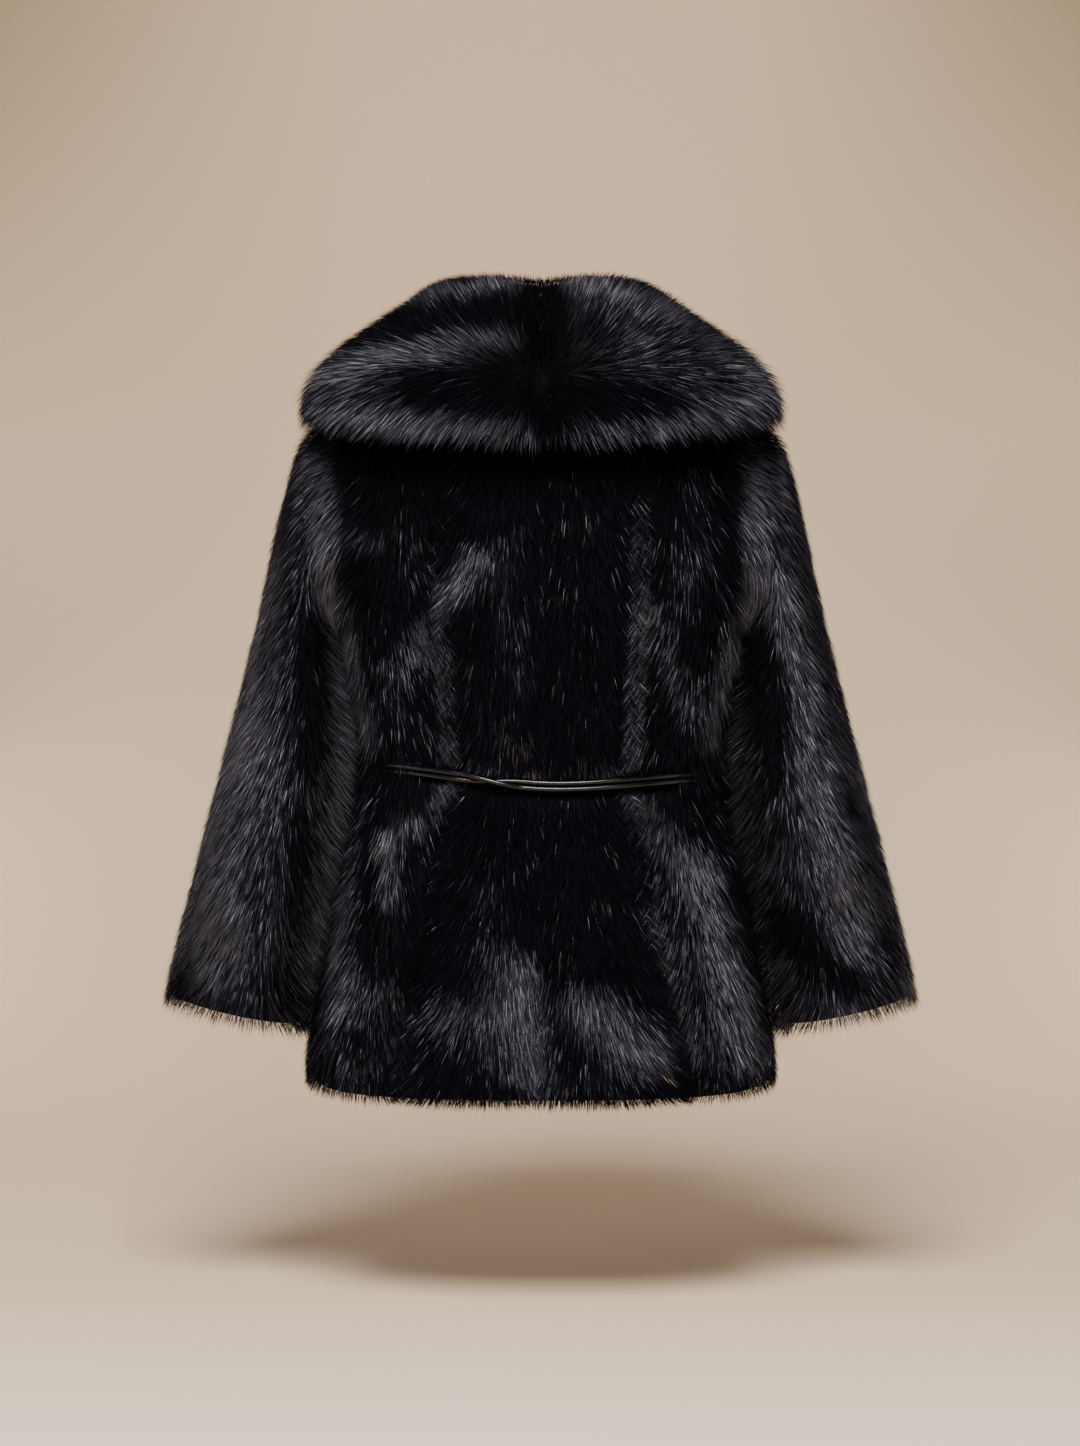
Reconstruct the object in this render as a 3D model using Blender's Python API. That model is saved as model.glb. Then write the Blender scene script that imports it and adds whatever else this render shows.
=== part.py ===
"""A woman's short faux fur coat with a deep collar and a leather cord belt, in the shape it has when worn.

Metres, +Z up. The wearer faces -Y, so the back of the coat is on +Y and the wearer's left on +X.
The origin is the middle of the neck, level with the tops of the shoulders, where the wearer carries the coat.
Each cloth piece is a wall: its inner face is the backing cloth, and its outer face is where the fur ends.
"""

import math

import bmesh
import bpy
from mathutils import Vector
from mathutils.bvhtree import BVHTree

# Wall and seams
WALL = 0.016  # backing cloth and lying fur together
COLLAR_WALL = 0.020  # the collar's fall, where the fur is longest
STAND_WALL = 0.010  # the collar's stand and roll, where the fur is pressed flat
LAPEL_WALL = 0.0065  # the same on the front
SEAM_GAP = 0.0004
CORNER_GAP = 0.0012  # where the neckline turns down the front
EVEN_SHAPE = 2.35  # 2 would make each level of the body an ellipse, and more makes it squarer

# Belt
BELT_LEVEL = -0.4245
BELT_SAG = 0.0145  # how far the cords hang lower at the centre back than at the sides
BELT_TILT = 0.005  # how far they are higher at the wearer's left side
CORD_RADIUS = 0.0025
CORD_CLEAR = 0.0006  # from the cord to the fur that it presses down
GROOVE_FLAT = 0.0068  # half the height of the pressed strip
GROOVE_END = 0.020  # where the fur stands full again
GROOVE_BACK = 0.005  # how deep the strip is at the centre back and front
GROOVE_SIDE = 0.009  # and at the sides, where the fur hides the cords
BELT_STEPS = 72
BELT_END = 173.0  # the turn at which the cords reach the knot
CROSS_TURN = 24.0  # where one cord crosses over the other
CROSS_WIDTH = 30.0  # the turn over which the two cords change places
KNOT_SIZE = (0.013, 0.008, 0.010)  # half sizes of the knot

# Levels of the body, from the hem up. Level is the height at the sides. Drop is how much lower the same level
# runs at the centre back and centre front. Back seam is the distance from the centre back to the seam of the
# side back panel. Front edge is the turn from the centre back to the edge of the front, 180 where they meet.
BODY_COLUMNS = ("level", "half_width", "back", "front", "back_drop", "front_drop", "back_seam", "front_edge")
BODY_ROWS = (
    (-0.747, 0.2360, 0.157, 0.150, 0.000, 0.000, 0.142, 180),
    (-0.680, 0.2300, 0.144, 0.143, 0.000, 0.000, 0.129, 180),
    (-0.600, 0.2140, 0.128, 0.134, 0.000, 0.000, 0.114, 180),
    (-0.520, 0.1985, 0.118, 0.126, 0.000, 0.000, 0.101, 180),
    (-0.460, 0.1870, 0.111, 0.119, 0.000, 0.000, 0.092, 180),
    (-0.4245, 0.1820, 0.105, 0.113, 0.000, 0.000, 0.087, 180),
    (-0.390, 0.1850, 0.109, 0.117, 0.000, 0.000, 0.088, 180),
    (-0.330, 0.1955, 0.119, 0.128, 0.000, 0.000, 0.092, 180),
    (-0.270, 0.2050, 0.128, 0.136, 0.000, 0.000, 0.095, 174),
    (-0.174, 0.2110, 0.133, 0.128, 0.004, 0.010, 0.098, 166),
    (-0.110, 0.2080, 0.130, 0.114, 0.012, 0.024, 0.099, 157),
    (-0.078, 0.2010, 0.124, 0.103, 0.022, 0.034, 0.094, 150),
    (-0.046, 0.1640, 0.110, 0.086, 0.026, 0.036, 0.078, 140),
    (-0.014, 0.1200, 0.091, 0.068, 0.018, 0.026, 0.058, 126),
    (0.006, 0.0900, 0.077, 0.056, 0.012, 0.018, 0.044, 112),
)

# The armhole, between these levels, and how far it reaches round to the back and to the front
ARMHOLE_TOP = -0.078
ARMHOLE_FOOT = -0.270
ARMHOLE_MIDDLE, ARMHOLE_HALF = (ARMHOLE_TOP + ARMHOLE_FOOT) / 2, (ARMHOLE_TOP - ARMHOLE_FOOT) / 2
ARMHOLE_TURN = 24.0
ARMHOLE_STEPS = 8  # rows from the foot to the top

# Levels of the grid below and above the armhole
LOWER_LEVELS = (-0.747, -0.714, -0.680, -0.645, -0.610, -0.575, -0.540, -0.505, -0.470)
BELT_OFFSETS = (-GROOVE_END, -GROOVE_FLAT, GROOVE_FLAT, GROOVE_END)
MIDDLE_LEVELS = (-0.375, -0.340, -0.305)
SHOULDER_LEVELS = (-0.066, -0.054, -0.042, -0.030, -0.018, -0.006, 0.006)
BACK_STEPS = 7  # columns of each centre back panel
SIDE_STEPS = 6
FRONT_STEPS = 9

# Folds of the cloth, each along a line from start to end as seen from behind or from the front. The rise of a
# ridge is over 0, and that of a trough is under it.
FOLD_COLUMNS = ("face", "start_x", "start_z", "end_x", "end_z", "reach", "rise")
BACK, FRONT = 1, -1
BODY_FOLDS = (
    (BACK, 0.036, -0.195, 0.100, -0.318, 0.034, 0.010),
    (BACK, 0.085, -0.200, 0.125, -0.270, 0.036, -0.007),
    (BACK, 0.105, -0.172, 0.180, -0.204, 0.030, 0.006),
    (BACK, 0.134, -0.460, 0.154, -0.560, 0.034, 0.009),
    (BACK, 0.104, -0.480, 0.134, -0.600, 0.034, -0.009),
    (BACK, 0.150, -0.370, 0.152, -0.402, 0.028, 0.006),
    (BACK, -0.112, -0.480, -0.158, -0.640, 0.036, 0.008),
    (BACK, -0.156, -0.444, -0.170, -0.500, 0.026, -0.008),
    (BACK, -0.124, -0.600, -0.150, -0.710, 0.024, -0.008),
    (BACK, -0.148, -0.330, -0.150, -0.400, 0.034, 0.008),
    (BACK, -0.050, -0.630, -0.062, -0.700, 0.055, 0.007),
    (BACK, 0.074, -0.640, 0.094, -0.710, 0.050, 0.006),
    (BACK, 0.014, -0.640, 0.020, -0.730, 0.036, -0.005),
    (FRONT, 0.080, -0.460, 0.110, -0.640, 0.040, 0.008),
    (FRONT, 0.135, -0.470, 0.160, -0.600, 0.030, -0.006),
    (FRONT, -0.070, -0.455, -0.096, -0.660, 0.036, 0.007),
    (FRONT, -0.120, -0.480, -0.150, -0.640, 0.034, -0.007),
    (FRONT, 0.090, -0.400, 0.120, -0.320, 0.030, 0.006),
    (FRONT, -0.100, -0.400, -0.118, -0.310, 0.032, 0.006),
)
SLEEVE_FOLDS = (
    (BACK, -0.290, -0.420, -0.318, -0.520, 0.034, 0.006),
    (BACK, -0.262, -0.545, -0.330, -0.590, 0.030, -0.007),
    (BACK, -0.238, -0.330, -0.246, -0.420, 0.022, -0.006),
    (BACK, 0.235, -0.330, 0.250, -0.440, 0.022, -0.005),
    (BACK, 0.300, -0.400, 0.312, -0.560, 0.040, 0.005),
    (FRONT, 0.255, -0.350, 0.300, -0.420, 0.026, -0.006),
    (FRONT, -0.252, -0.350, -0.304, -0.430, 0.026, -0.006),
    (FRONT, 0.290, -0.470, 0.320, -0.560, 0.036, 0.005),
    (FRONT, -0.290, -0.470, -0.316, -0.560, 0.036, 0.005),
)
COLLAR_FOLDS = (
    (BACK, 0.012, 0.002, 0.150, -0.004, 0.020, -0.008),
    (BACK, 0.010, -0.026, 0.190, -0.032, 0.024, 0.005),
    (BACK, 0.000, 0.000, 0.000, -0.100, 0.020, -0.006),
)

# Sections of the sleeve from the shoulder to the cuff. Outer and inner are its two edges as seen from behind.
SLEEVE_COLUMNS = ("outer_x", "outer_z", "inner_x", "inner_z", "depth", "middle_y")
SLEEVE_ROWS = (
    (0.2020, -0.078, 0.2060, -0.270, 0.082, 0.002),
    (0.2260, -0.084, 0.2085, -0.280, 0.084, 0.002),
    (0.2420, -0.106, 0.2095, -0.290, 0.085, 0.001),
    (0.2580, -0.160, 0.2085, -0.304, 0.085, 0.000),
    (0.2790, -0.256, 0.2015, -0.340, 0.084, -0.001),
    (0.3020, -0.352, 0.1925, -0.400, 0.082, -0.002),
    (0.3300, -0.460, 0.1975, -0.485, 0.080, -0.003),
    (0.3580, -0.570, 0.2175, -0.592, 0.078, -0.004),
    (0.3740, -0.640, 0.2335, -0.668, 0.077, -0.005),
    (0.3740, -0.652, 0.2365, -0.680, 0.076, -0.005),
)
SLEEVE_STEPS = 14  # rows from the armhole to the cuff
HEM_CORNER = 0.010  # how much higher the hem is at the sides

# The collar, from the centre back along the neckline to the front. Share is the way along the neckline.
# Roll is where the collar turns over, and edge is its outer edge. Both are on its fur face.
COLLAR_COLUMNS = ("share", "roll_x", "roll_y", "roll_z", "edge_x", "edge_y", "edge_z")
COLLAR_ROWS = (
    (0.00, 0.000, 0.094, 0.050, 0.000, 0.174, -0.124),
    (0.12, 0.044, 0.084, 0.056, 0.088, 0.170, -0.121),
    (0.24, 0.086, 0.040, 0.058, 0.186, 0.140, -0.108),
    (0.34, 0.094, -0.018, 0.045, 0.234, 0.078, -0.084),
    (0.43, 0.090, -0.062, 0.021, 0.238, -0.002, -0.080),
    (0.485, 0.080, -0.080, 0.000, 0.238, -0.052, -0.088),
    (0.54, 0.066, -0.096, -0.026, 0.220, -0.088, -0.128),
    (0.68, 0.0400, -0.123, -0.100, 0.182, -0.112, -0.192),
    (0.84, 0.0200, -0.140, -0.180, 0.134, -0.144, -0.258),
    (1.00, 0.0040, -0.144, -0.260, 0.084, -0.156, -0.292),
)
COLLAR_FOOT = 1  # the row beside the armhole, counted from its foot, where the collar ends on the front
COLLAR_SPAN = 9  # rows from the neck seam to the outer edge
ROLL_SHARE = 0.38  # the part of those rows that lies on the stand
COLLAR_CLEAR = 0.005  # from the collar's underside to the walls below it
SHOULDER_FULL = 0.020  # how far the collar stands out over the end of the shoulder

# Colours, roughness: near black fur, black leather
FUR_COLOUR = (0.010, 0.009, 0.012)
LEATHER_COLOUR = (0.006, 0.006, 0.007)


def clear_scene():
    for thing in list(bpy.data.objects):
        bpy.data.objects.remove(thing)


def material(name, colour, roughness):
    made = bpy.data.materials.new(name)
    made.use_nodes = True
    shader = made.node_tree.nodes["Principled BSDF"]
    shader.inputs["Base Color"].default_value = (*colour, 1)
    shader.inputs["Roughness"].default_value = roughness
    made.diffuse_color = (*colour, 1)
    return made


def smooth(share):
    """0 to 1 with level ends."""
    share = min(max(share, 0.0), 1.0)
    return share * share * (3 - 2 * share)


def along(rows, value):
    """The row of a table at this value of its first column, on a smooth curve through its rows."""
    keys = [row[0] for row in rows]
    value = min(max(value, keys[0]), keys[-1])
    i = max(k for k in range(len(rows) - 1) if keys[k] <= value)
    share = (value - keys[i]) / (keys[i + 1] - keys[i])
    return curve_point(rows, i, share)


def curve_point(rows, i, share):
    """A point of the Catmull-Rom curve through the rows, at this share of the way from row i to the next."""
    before, start, end, after = (rows[min(max(k, 0), len(rows) - 1)] for k in range(i - 1, i + 3))
    weights = (
        -share + 2 * share**2 - share**3,
        2 - 5 * share**2 + 3 * share**3,
        share + 4 * share**2 - 3 * share**3,
        -(share**2) + share**3,
    )
    return [sum(w * v for w, v in zip(weights, values)) / 2 for values in zip(before, start, end, after)]


def body_level(level):
    """The sizes of the body at this level, by the names of the columns."""
    return dict(zip(BODY_COLUMNS, along(BODY_ROWS, level)))


def fold_rise(folds, face, x, z):
    """How far the folds push the cloth out at a point seen from behind or from the front."""
    total = 0.0
    for fold in folds:
        row = dict(zip(FOLD_COLUMNS, fold))
        if row["face"] != face:
            continue
        dx, dz = row["end_x"] - row["start_x"], row["end_z"] - row["start_z"]
        share = ((x - row["start_x"]) * dx + (z - row["start_z"]) * dz) / (dx * dx + dz * dz)
        share = min(max(share, 0.0), 1.0)
        away = math.hypot(x - row["start_x"] - share * dx, z - row["start_z"] - share * dz)
        total += row["rise"] * smooth(1 - away / row["reach"])
    return total


def belt_dip(turn):
    """How far the belt's line is above its level at this turn from the centre back."""
    angle = math.radians(turn)
    return -BELT_SAG * max(math.cos(angle), 0.0) ** 2 + BELT_TILT * math.sin(angle)


def groove_depth(level, turn):
    """How far the belt presses the fur down."""
    away = abs(level - BELT_LEVEL)
    side = smooth((abs(math.sin(math.radians(turn))) - 0.62) / 0.25)
    deep = GROOVE_BACK + (GROOVE_SIDE - GROOVE_BACK) * side
    return deep * smooth((GROOVE_END - away) / (GROOVE_END - GROOVE_FLAT))


def body_point(level, turn, groove=True, fold_share=1.0):
    """The outer face of the body. Turn is in degrees from the centre back, over 0 towards the left."""
    size = body_level(level)
    angle = math.radians(turn)
    sine, cosine = math.sin(angle), math.cos(angle)
    depth, drop = (size["back"], size["back_drop"]) if cosine > 0 else (size["front"], size["front_drop"])
    across, along_it = abs(sine / size["half_width"]), abs(cosine / depth)
    reach = (across**EVEN_SHAPE + along_it**EVEN_SHAPE) ** (-1 / EVEN_SHAPE)
    z = level - drop * cosine**2 + belt_dip(turn) * smooth(1 - abs(level - BELT_LEVEL) / 0.12)
    face = BACK if cosine > 0 else FRONT
    held = smooth((abs(level - BELT_LEVEL) - GROOVE_FLAT) / 0.025)
    rise = fold_share * fold_rise(BODY_FOLDS, face, reach * sine, z) * smooth(abs(cosine) * 3) * held
    if groove:
        reach -= groove_depth(level, turn)
    return Vector((reach * sine, reach * cosine + face * rise, z))


def surface_normal(point, u, v, du, dv):
    """The outward normal of a surface function, from points close by."""
    across = point(u + du, v) - point(u - du, v)
    up = point(u, v + dv) - point(u, v - dv)
    return across.cross(up).normalized()


def body_normal(level, turn):
    """Outward, for a wall of even thickness. The belt's groove is in the fur alone, so it doesn't count."""

    def plain(at_turn, at_level):
        return body_point(at_level, at_turn, groove=False, fold_share=0)

    low, high = BODY_ROWS[0][0], BODY_ROWS[-1][0]
    return -surface_normal(plain, turn, min(max(level, low + 0.002), high - 0.002), 0.5, 0.002)


def body_inner(level, turn, normal=None):
    """The inner face of the body, where the folds are half as high and the belt doesn't show."""
    normal = normal or body_normal(level, turn)
    return body_point(level, turn, groove=False, fold_share=0.5) - WALL * normal


def turn_at(level, x):
    """The turn at which the body is this far from the middle, on the back."""
    size = body_level(level)
    y = size["back"] * (1 - (abs(x) / size["half_width"]) ** EVEN_SHAPE) ** (1 / EVEN_SHAPE)
    return math.degrees(math.atan2(x, y))


def armhole_levels():
    """Rows of the grid beside the armhole, closer together at its foot and top."""
    angles = [math.pi * k / ARMHOLE_STEPS for k in range(ARMHOLE_STEPS + 1)]
    return [ARMHOLE_MIDDLE - ARMHOLE_HALF * math.cos(angle) for angle in angles]


def armhole_turn(level):
    """How far the armhole reaches from the side towards the back or the front at this level."""
    return ARMHOLE_TURN * math.sqrt(max(0.0, 1 - ((level - ARMHOLE_MIDDLE) / ARMHOLE_HALF) ** 2))


def armhole_normal(level, side, face):
    """The direction from the armhole's middle to its edge, across which the body and the sleeve meet."""
    height = (level - ARMHOLE_MIDDLE) / ARMHOLE_HALF
    depth = math.sqrt(max(0.0, 1 - height**2))
    lean = 0.45 * max(height, 0.0) * side
    return Vector((lean, face * depth, height)).normalized()


def body_levels():
    """Levels of the rows of the body's grid, from the hem up."""
    belt = [BELT_LEVEL + offset for offset in BELT_OFFSETS]
    return [*LOWER_LEVELS, *belt, *MIDDLE_LEVELS, *armhole_levels(), *SHOULDER_LEVELS]


def hem_level(level, turn):
    """A level of the grid, raised at the sides of the hem, whose corners are rounded as seen from behind."""
    return level + HEM_CORNER * abs(math.sin(math.radians(turn))) ** 16 * smooth((-0.64 - level) / 0.107)


def gap_turn(level, turn):
    """Half a seam gap as a turn."""
    return math.degrees(SEAM_GAP / 2 / body_point(level, turn).xy.length)


def panel_grids(side, start, end, steps, face):
    """Outer and inner points of a body panel, a row for each level, between the turns start and end give."""
    outer, inner = [], []
    for level in body_levels():
        low, high = start(level), end(level)
        low += gap_turn(level, low)
        high -= gap_turn(level, high)
        turns = [low + (high - low) * k / steps for k in range(steps + 1)]
        beside_armhole = ARMHOLE_FOOT - 1e-6 <= level <= ARMHOLE_TOP + 1e-6
        at_armhole = {BACK: steps, FRONT: 0}[face]
        outer_row, inner_row = [], []
        for k, turn in enumerate(turns):
            normal = None
            if beside_armhole and k == at_armhole and steps != BACK_STEPS:
                normal = armhole_normal(level, side, face)
            at_level = hem_level(level, turn)
            outer_row.append(body_point(at_level, side * turn))
            inner_row.append(body_inner(at_level, side * turn, normal))
        outer.append(outer_row)
        inner.append(inner_row)
    return outer, inner


def side_boundary(level):
    """The turn of the side seam, the back edge of the armhole, or the shoulder seam."""
    if ARMHOLE_FOOT < level < ARMHOLE_TOP:
        return 90 - armhole_turn(level)
    return 90.0


def front_boundary(level):
    if ARMHOLE_FOOT < level < ARMHOLE_TOP:
        return 90 + armhole_turn(level)
    return 90.0


def centre_back(level):
    return 0.0


def back_seam(level):
    return turn_at(level, body_level(level)["back_seam"])


def front_edge(level):
    return min(body_level(level)["front_edge"], 180.0)


def wall_object(name, outer, inner, finish, round_and_round=False):
    """A closed wall from two grids of points with the same rows and columns. Its rim joins their edges."""
    rows, columns = len(outer), len(outer[0])
    bm = bmesh.new()
    faces_out = [[bm.verts.new(p) for p in row] for row in outer]
    faces_in = [[bm.verts.new(p) for p in row] for row in inner]
    across = columns if round_and_round else columns - 1
    for r in range(rows - 1):
        for c in range(across):
            d = (c + 1) % columns
            bm.faces.new((faces_out[r][c], faces_out[r][d], faces_out[r + 1][d], faces_out[r + 1][c]))
            bm.faces.new((faces_in[r][c], faces_in[r + 1][c], faces_in[r + 1][d], faces_in[r][d]))
    for r in (0, rows - 1):
        for c in range(across):
            d = (c + 1) % columns
            bm.faces.new((faces_out[r][c], faces_in[r][c], faces_in[r][d], faces_out[r][d]))
    if not round_and_round:
        for c in (0, columns - 1):
            for r in range(rows - 1):
                bm.faces.new((faces_out[r][c], faces_out[r + 1][c], faces_in[r + 1][c], faces_in[r][c]))
    bmesh.ops.recalc_face_normals(bm, faces=bm.faces)
    mesh = bpy.data.meshes.new(name)
    bm.to_mesh(mesh)
    bm.free()
    mesh.shade_smooth()
    made = bpy.data.objects.new(name, mesh)
    made.data.materials.append(finish)
    bpy.context.scene.collection.objects.link(made)


def build_body(fur):
    for side, name in ((1, "left"), (-1, "right")):
        wall_object(f"back_{name}", *panel_grids(side, centre_back, back_seam, BACK_STEPS, BACK), fur)
        wall_object(f"side_{name}", *panel_grids(side, back_seam, side_boundary, SIDE_STEPS, BACK), fur)
        wall_object(f"front_{name}", *panel_grids(side, front_boundary, front_edge, FRONT_STEPS, FRONT), fur)


def sleeve_columns():
    """Angles round the sleeve, 0 at its outer edge and 90 at the back, one for each point of the armhole."""
    return [180.0 * k / ARMHOLE_STEPS for k in range(2 * ARMHOLE_STEPS)]


def sleeve_point(side, share, angle):
    """The outer face of a sleeve. Share runs from the armhole to the cuff."""
    at = share * (len(SLEEVE_ROWS) - 1)
    i = min(int(at), len(SLEEVE_ROWS) - 2)
    row = dict(zip(SLEEVE_COLUMNS, curve_point(SLEEVE_ROWS, i, at - i)))
    cosine, sine = math.cos(math.radians(angle)), math.sin(math.radians(angle))
    outer = Vector((row["outer_x"], row["middle_y"], row["outer_z"]))
    inner = Vector((row["inner_x"], row["middle_y"], row["inner_z"]))
    point = (outer + inner) / 2 + (outer - inner) / 2 * cosine
    point.y += row["depth"] * sine
    face = BACK if sine > 0 else FRONT
    point.y += face * fold_rise(SLEEVE_FOLDS, face, side * point.x, point.z) * abs(sine)
    point.x *= side
    return point


def armhole_point(side, angle):
    """The body's own point at the armhole, for the sleeve's first ring."""
    cosine, sine = math.cos(math.radians(angle)), math.sin(math.radians(angle))
    return body_point(ARMHOLE_MIDDLE + ARMHOLE_HALF * cosine, side * (90 - ARMHOLE_TURN * sine))


def set_in_point(side, share, angle):
    """The sleeve's outer face, drawn to the armhole over its first part."""
    point = sleeve_point(side, share, angle)
    fade = smooth(1 - share / 0.22)
    return point + (armhole_point(side, angle) - sleeve_point(side, 0, angle)) * fade


def sleeve_normal(side, share, angle):
    def plain(at_angle, at_share):
        return set_in_point(side, at_share, at_angle)

    middle = min(max(share, 0.01), 0.985)
    normal = surface_normal(plain, angle, middle, 2, 0.01)
    return -normal if side > 0 else normal


def build_sleeve(side, name, fur):
    outer, inner = [], []
    for r in range(SLEEVE_STEPS + 1):
        share = (r / SLEEVE_STEPS) ** 1.15
        ring = [set_in_point(side, share, angle) for angle in sleeve_columns()]
        if r == 0:
            ring = [point + Vector((side * SEAM_GAP, 0, 0)) for point in ring]
        normals = []
        for angle in sleeve_columns():
            level = ARMHOLE_MIDDLE + ARMHOLE_HALF * math.cos(math.radians(angle))
            face = BACK if angle < 180 else FRONT
            seam = armhole_normal(level, side, face)
            own = sleeve_normal(side, share, angle)
            normals.append(seam if r == 0 else seam.lerp(own, smooth(share / 0.10)).normalized())
        outer.append(ring)
        inner.append([point - WALL * normal for point, normal in zip(ring, normals)])
    wall_object(name, outer, inner, fur, round_and_round=True)


def neckline():
    """(level, turn) of the body's grid points along half the neckline, from the centre back to the front."""
    top = body_levels()[-1]
    seam, edge = back_seam(top), front_edge(top)
    stops = [(0.0, seam, BACK_STEPS), (seam, 90.0, SIDE_STEPS), (90.0, edge, FRONT_STEPS)]
    stations = [(top, low + (high - low) * k / steps) for low, high, steps in stops for k in range(steps)]
    down = [level for level in reversed(body_levels()) if level > armhole_levels()[COLLAR_FOOT] - 1e-6]
    return stations + [(level, front_edge(level)) for level in down]


def neck_shares():
    """How far along the neckline each of those points is, from 0 to 1 by length."""
    points = [body_point(level, turn) for level, turn in neckline()]
    far = [0.0]
    for a, b in zip(points, points[1:]):
        far.append(far[-1] + (b - a).length)
    return [length / far[-1] for length in far]


def neck_rim(side, station):
    """The outer and inner points of the body's rim at a point of the neckline, and the collar's way out."""
    level, turn = station
    top = body_levels()[-1]
    outer, inner = body_point(level, side * turn), body_inner(level, side * turn)
    runs = []  # the neckline's run round the neck, or down the front, or both at the corner
    if level > top - 1e-6:
        runs.append(body_point(level, side * (turn + 1)) - body_point(level, side * (turn - 1)))
    if turn > front_edge(top) - 1e-6:
        low, high = max(level - 0.003, BODY_ROWS[0][0]), min(level + 0.003, top)
        runs.append(body_point(low, side * front_edge(low)) - body_point(high, side * front_edge(high)))
    away = sum((run.cross(outer - inner).normalized() for run in runs), Vector()).normalized()
    if away.dot(Vector((0, -0.03, 0.05)) - outer) < 0:
        away = -away
    at_corner = turn > front_edge(top) - 1e-6 and level > top - 0.045
    gap = away * (CORNER_GAP if at_corner else SEAM_GAP)
    return outer + gap, inner + gap, away


def bezier(a, b, c, d, t):
    return a * (1 - t) ** 3 + b * 3 * t * (1 - t) ** 2 + c * 3 * t**2 * (1 - t) + d * t**3


def collar_point(side, share, station, way):
    """The fur face of the collar. Way runs from the neck seam up the stand and over the roll to the edge."""
    row = dict(zip(COLLAR_COLUMNS, along(COLLAR_ROWS, share)))
    neck, away = neck_rim(side, station)[1:]
    roll = Vector((side * row["roll_x"], row["roll_y"], row["roll_z"]))
    edge = Vector((side * row["edge_x"], row["edge_y"], row["edge_z"]))
    over = body_normal(station[0], side * station[1])
    over.z = 0
    over.normalize()
    rise, span = (roll - neck).length, edge - roll
    straight = (roll - neck).normalized() * smooth((0.56 - share) / 0.20)
    leave = (away + straight).normalized()
    if way <= ROLL_SHARE:
        return bezier(neck, neck + leave * rise * 0.4, roll - over * rise * 0.35, roll, way / ROLL_SHARE)
    t = (way - ROLL_SHARE) / (1 - ROLL_SHARE)
    ahead = max(span.dot(over), 0.024)
    at_shoulder = smooth((share - 0.22) / 0.1) * smooth((0.56 - share) / 0.1)
    down = (span - over * span.dot(over) * (0.85 + 0.40 * at_shoulder)).normalized()
    near = roll + over * min(span.length * (0.22 - 0.14 * at_shoulder), ahead)
    point = bezier(roll, near, edge - down * span.length * (0.30 + 0.16 * at_shoulder), edge, t)
    point.x += side * SHOULDER_FULL * at_shoulder * 9.48 * t**3 * (1 - t)
    face = BACK if point.y > -0.02 else FRONT
    return point + over * fold_rise(COLLAR_FOLDS, face, point.x, point.z) * smooth(t * 4)


def collar_wall(share, way):
    """The collar's thickness, which is least at the roll and on the front, where it folds back sharply."""
    thin = STAND_WALL + (LAPEL_WALL - STAND_WALL) * smooth((share - 0.3) / 0.35)
    if way < ROLL_SHARE:
        return WALL + (thin - WALL) * smooth(way / ROLL_SHARE * 2.6)
    return thin + (COLLAR_WALL - thin) * smooth((way - ROLL_SHARE) / (0.80 - ROLL_SHARE))


def walls_tree(names):
    """The outer and inner faces of these walls together, to lay the collar on."""
    verts, faces = [], []
    for name in names:
        mesh = bpy.data.objects[name].data
        faces += [[len(verts) + v for v in polygon.vertices] for polygon in mesh.polygons]
        verts += [vert.co.copy() for vert in mesh.vertices]
    return BVHTree.FromPolygons(verts, faces)


def lay_on(tree, face, under):
    """Moves the collar's points out where its underside would be too close to the walls that it lies on."""
    first, columns = COLLAR_SPAN // 2, len(face[0])
    spots = [[(r, c)] for r in range(first, COLLAR_SPAN + 1) for c in range(columns)]
    for r in range(first, COLLAR_SPAN):
        spots += [[(r, c), (r, c + 1), (r + 1, c), (r + 1, c + 1)] for c in range(columns - 1)]
    for _ in range(3):
        for corners in spots:
            middle = sum((under[r][c] for r, c in corners), Vector()) / len(corners)
            spot, normal, _, _ = tree.find_nearest(middle)
            short = COLLAR_CLEAR - (middle - spot).dot(normal)
            if short > 0 and (middle - spot).length < 0.04:
                for r, c in corners:
                    face[r][c] += normal * short
                    under[r][c] += normal * short


def build_collar(side, name, fur):
    stations, shares = neckline(), neck_shares()
    last = len(stations) - 1
    face = [
        [collar_point(side, share, station, r / COLLAR_SPAN) for share, station in zip(shares, stations)]
        for r in range(COLLAR_SPAN + 1)
    ]
    under = []
    for r, row in enumerate(face):
        low, high = max(r - 1, 0), min(r + 1, COLLAR_SPAN)
        under_row = []
        for c, point in enumerate(row):
            before, after = max(c - 1, 0), min(c + 1, last)
            normal = (face[r][after] - face[r][before]).cross(face[high][c] - face[low][c]).normalized() * side
            rim_outer, rim_inner, _ = neck_rim(side, stations[c])
            rim = (rim_inner - rim_outer).normalized()
            normal = rim.lerp(normal, smooth(r / COLLAR_SPAN / ROLL_SHARE)).normalized()
            if c == 0:
                normal.x = 0
                normal.normalize()
            under_row.append(point - collar_wall(shares[c], r / COLLAR_SPAN) * normal)
        under.append(under_row)
    under[0] = [neck_rim(side, station)[0] for station in stations]
    hand = name.split("_")[1]
    lay_on(walls_tree([f"back_{hand}", f"side_{hand}", f"front_{hand}", f"sleeve_{hand}"]), face, under)
    for grid in (face, under):
        for row in grid:
            row[0].x = side * SEAM_GAP / 2
    wall_object(name, face, under, fur)


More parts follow.
